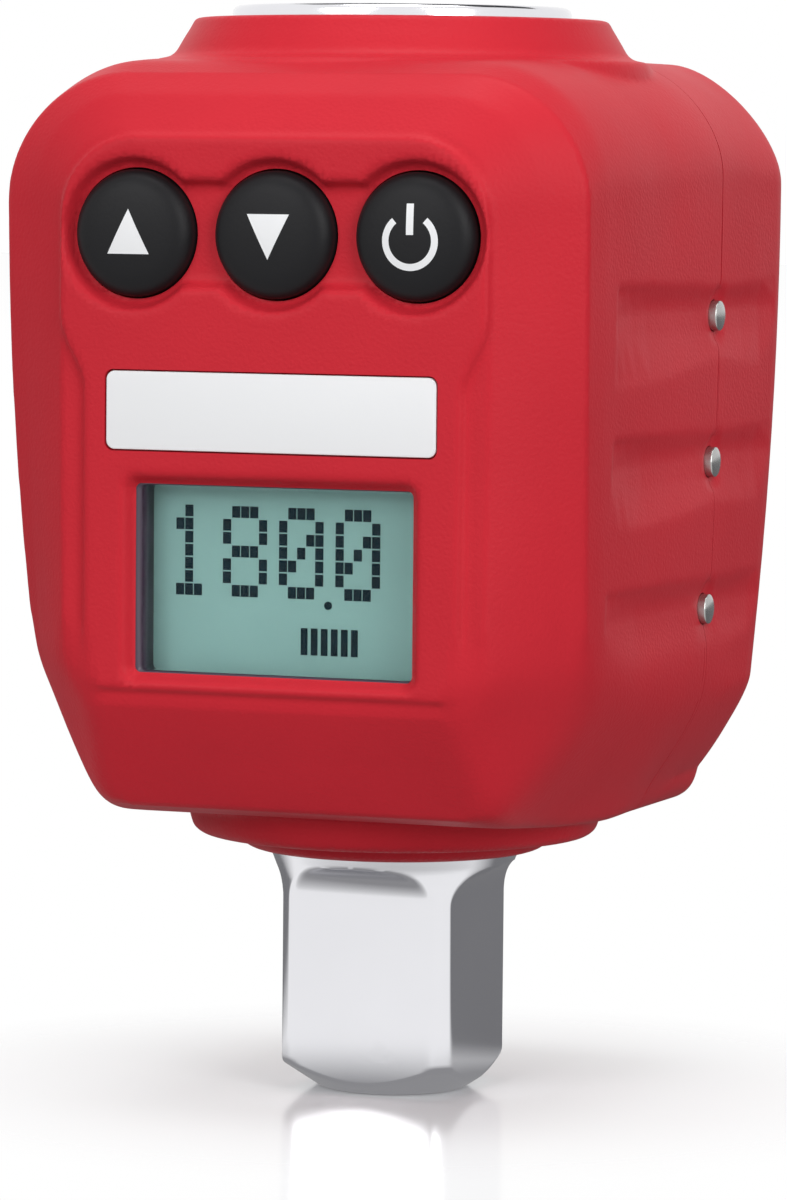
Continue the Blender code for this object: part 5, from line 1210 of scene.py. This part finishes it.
def white_table():
    """Glossy white table that turns to plain white away from the object, and shows painted dark shade in reflections
    behind and close round it.
    """
    mat = bpy.data.materials.new("white_table")
    mat.use_nodes = True
    tree = mat.node_tree
    shader = tree.nodes["Principled BSDF"]
    shader.inputs["Base Color"].default_value = (0.94, 0.94, 0.95, 1)
    shader.inputs["Roughness"].default_value = 0.16
    place = node(tree, "TexCoord").outputs["Object"]
    reach = node(tree, "VectorMath", [(0, place)], operation="LENGTH")
    away = node(tree, "MapRange", [("Value", reach.outputs["Value"]), ("From Min", 0.008), ("From Max", 0.04)])
    seen = node(tree, "Math", [(0, away.outputs[0]), (1, seen_directly(tree))], operation="MULTIPLY")
    mirrored = node(tree, "LightPath").outputs["Is Glossy Ray"]
    # Painted reflection: seen in a reflection, the table turns dark behind the object and close round it, painted
    # shade for the chrome and the moulding to mirror.
    behind = node(tree, "MapRange", [("Value", node(tree, "SeparateXYZ", [(0, place)]).outputs["Y"]),
                                     ("From Min", 0.0), ("From Max", 0.02), ("To Max", 0.8)])
    near = node(tree, "MapRange", [("Value", reach.outputs["Value"]), ("From Min", 0.012), ("From Max", 0.03),
                                   ("To Min", 0.7), ("To Max", 0.0)])
    painted_reflection_shade = node(tree, "Math", [(0, behind.outputs[0]), (1, near.outputs[0])], operation="MAXIMUM")
    share = node(tree, "Math", [(0, painted_reflection_shade.outputs[0]), (1, mirrored)], operation="MULTIPLY")
    shade = node(tree, "Mix", [("Factor", share.outputs[0]), ("A", (1, 1, 1, 1)), ("B", (0, 0, 0.01, 1))],
                 data_type="RGBA")
    glow = node(tree, "Emission", [("Color", shade.outputs["Result"]), ("Strength", 1.0)])
    gloss = node(tree, "BsdfGlossy", [("Color", (1, 1, 1, 1)), ("Roughness", 0.12)])
    polish = node(tree, "Math", [(0, 0.32), (1, node(tree, "LightPath").outputs["Is Camera Ray"])],
                  operation="MULTIPLY")
    plain = node(tree, "MixShader", [("Fac", polish.outputs[0]), (1, glow.outputs[0]), (2, gloss.outputs[0])])
    matt = node(tree, "BsdfDiffuse", [("Color", (0.35, 0.35, 0.35, 1))])
    table = node(tree, "MixShader", [("Fac", seen_directly(tree)), (1, matt.outputs[0]), (2, shader.outputs[0])])
    whole = node(tree, "Math", [(0, seen.outputs[0]), (1, mirrored)], operation="MAXIMUM")
    blend = node(tree, "MixShader", [("Fac", whole.outputs[0]), (1, table.outputs[0]), (2, plain.outputs[0])])
    tree.links.new(blend.outputs[0], tree.nodes["Material Output"].inputs["Surface"])
    return mat


def flag(name, place, aim, width, height, shade):
    """Grey card that only shows in reflections."""
    half_w, half_h = width / 2, height / 2
    card = add_object(name, [(-half_w, -half_h, 0), (half_w, -half_h, 0), (half_w, half_h, 0), (-half_w, half_h, 0)],
                      [(0, 1, 2, 3)], smooth=False)
    mat = bpy.data.materials.new("grey_card")
    mat.use_nodes = True
    tree = mat.node_tree
    glossy = node(tree, "LightPath").outputs["Is Glossy Ray"]
    tone = node(tree, "Emission", [("Color", (shade, shade, shade * 1.05, 1)), ("Strength", 1.0)])
    clear = node(tree, "BsdfTransparent")
    blend = node(tree, "MixShader", [("Fac", glossy), (1, clear.outputs[0]), (2, tone.outputs[0])])
    tree.links.new(blend.outputs[0], tree.nodes["Material Output"].inputs["Surface"])
    card.data.materials.append(mat)
    card.location = place
    card.rotation_euler = (Vector(aim) - Vector(place)).to_track_quat("-Z", "Y").to_euler()


def dress_frame(finishes):
    """Gives the CAD nodes that stay their procedural finishes."""
    by_slot = {"red_moulding": "red", "chrome_steel": "chrome", "bright_steel": "steel", "black_rubber": "rubber",
               "dark_moulding": "dark", "white_label": "white", "clear_window": "window", "display_glass": "lcd",
               "lamp_lens": "lamp", "board_green": "board", "plug_cream": "cream", "gauge_foil": "foil",
               "cell_jacket": "jacket"}
    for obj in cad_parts.values():
        for place in obj.material_slots:
            if place.material and place.material.name in by_slot:
                place.material = finishes[by_slot[place.material.name]]


def clear_finish():
    mat = finish("clear_window", (0.95, 0.97, 0.97, 1), 0.05, depth=0.0005, drift=0.01, Transmission_Weight=1.0,
                 IOR=1.15)
    return mat


finishes = object_finishes()
finishes["window"] = clear_finish()
dress_frame(finishes)
housing_shells(finishes["red"])
spindle(finishes["chrome"])
seal_rings(finishes["rubber"])
detent_ball(finishes["steel"])
ball_spring(finishes["steel"])
button_caps(finishes["rubber"], finishes["white"])
label(finishes["white"])
lens(finishes["window"])
window_sleeve(finishes["sleeve"])
display_marks(finishes["ink"])
side_lamps(finishes["lamp"])
screws(finishes["steel"])
add_camera()
add_studio()
bpy.context.scene.view_settings.view_transform = "Standard"
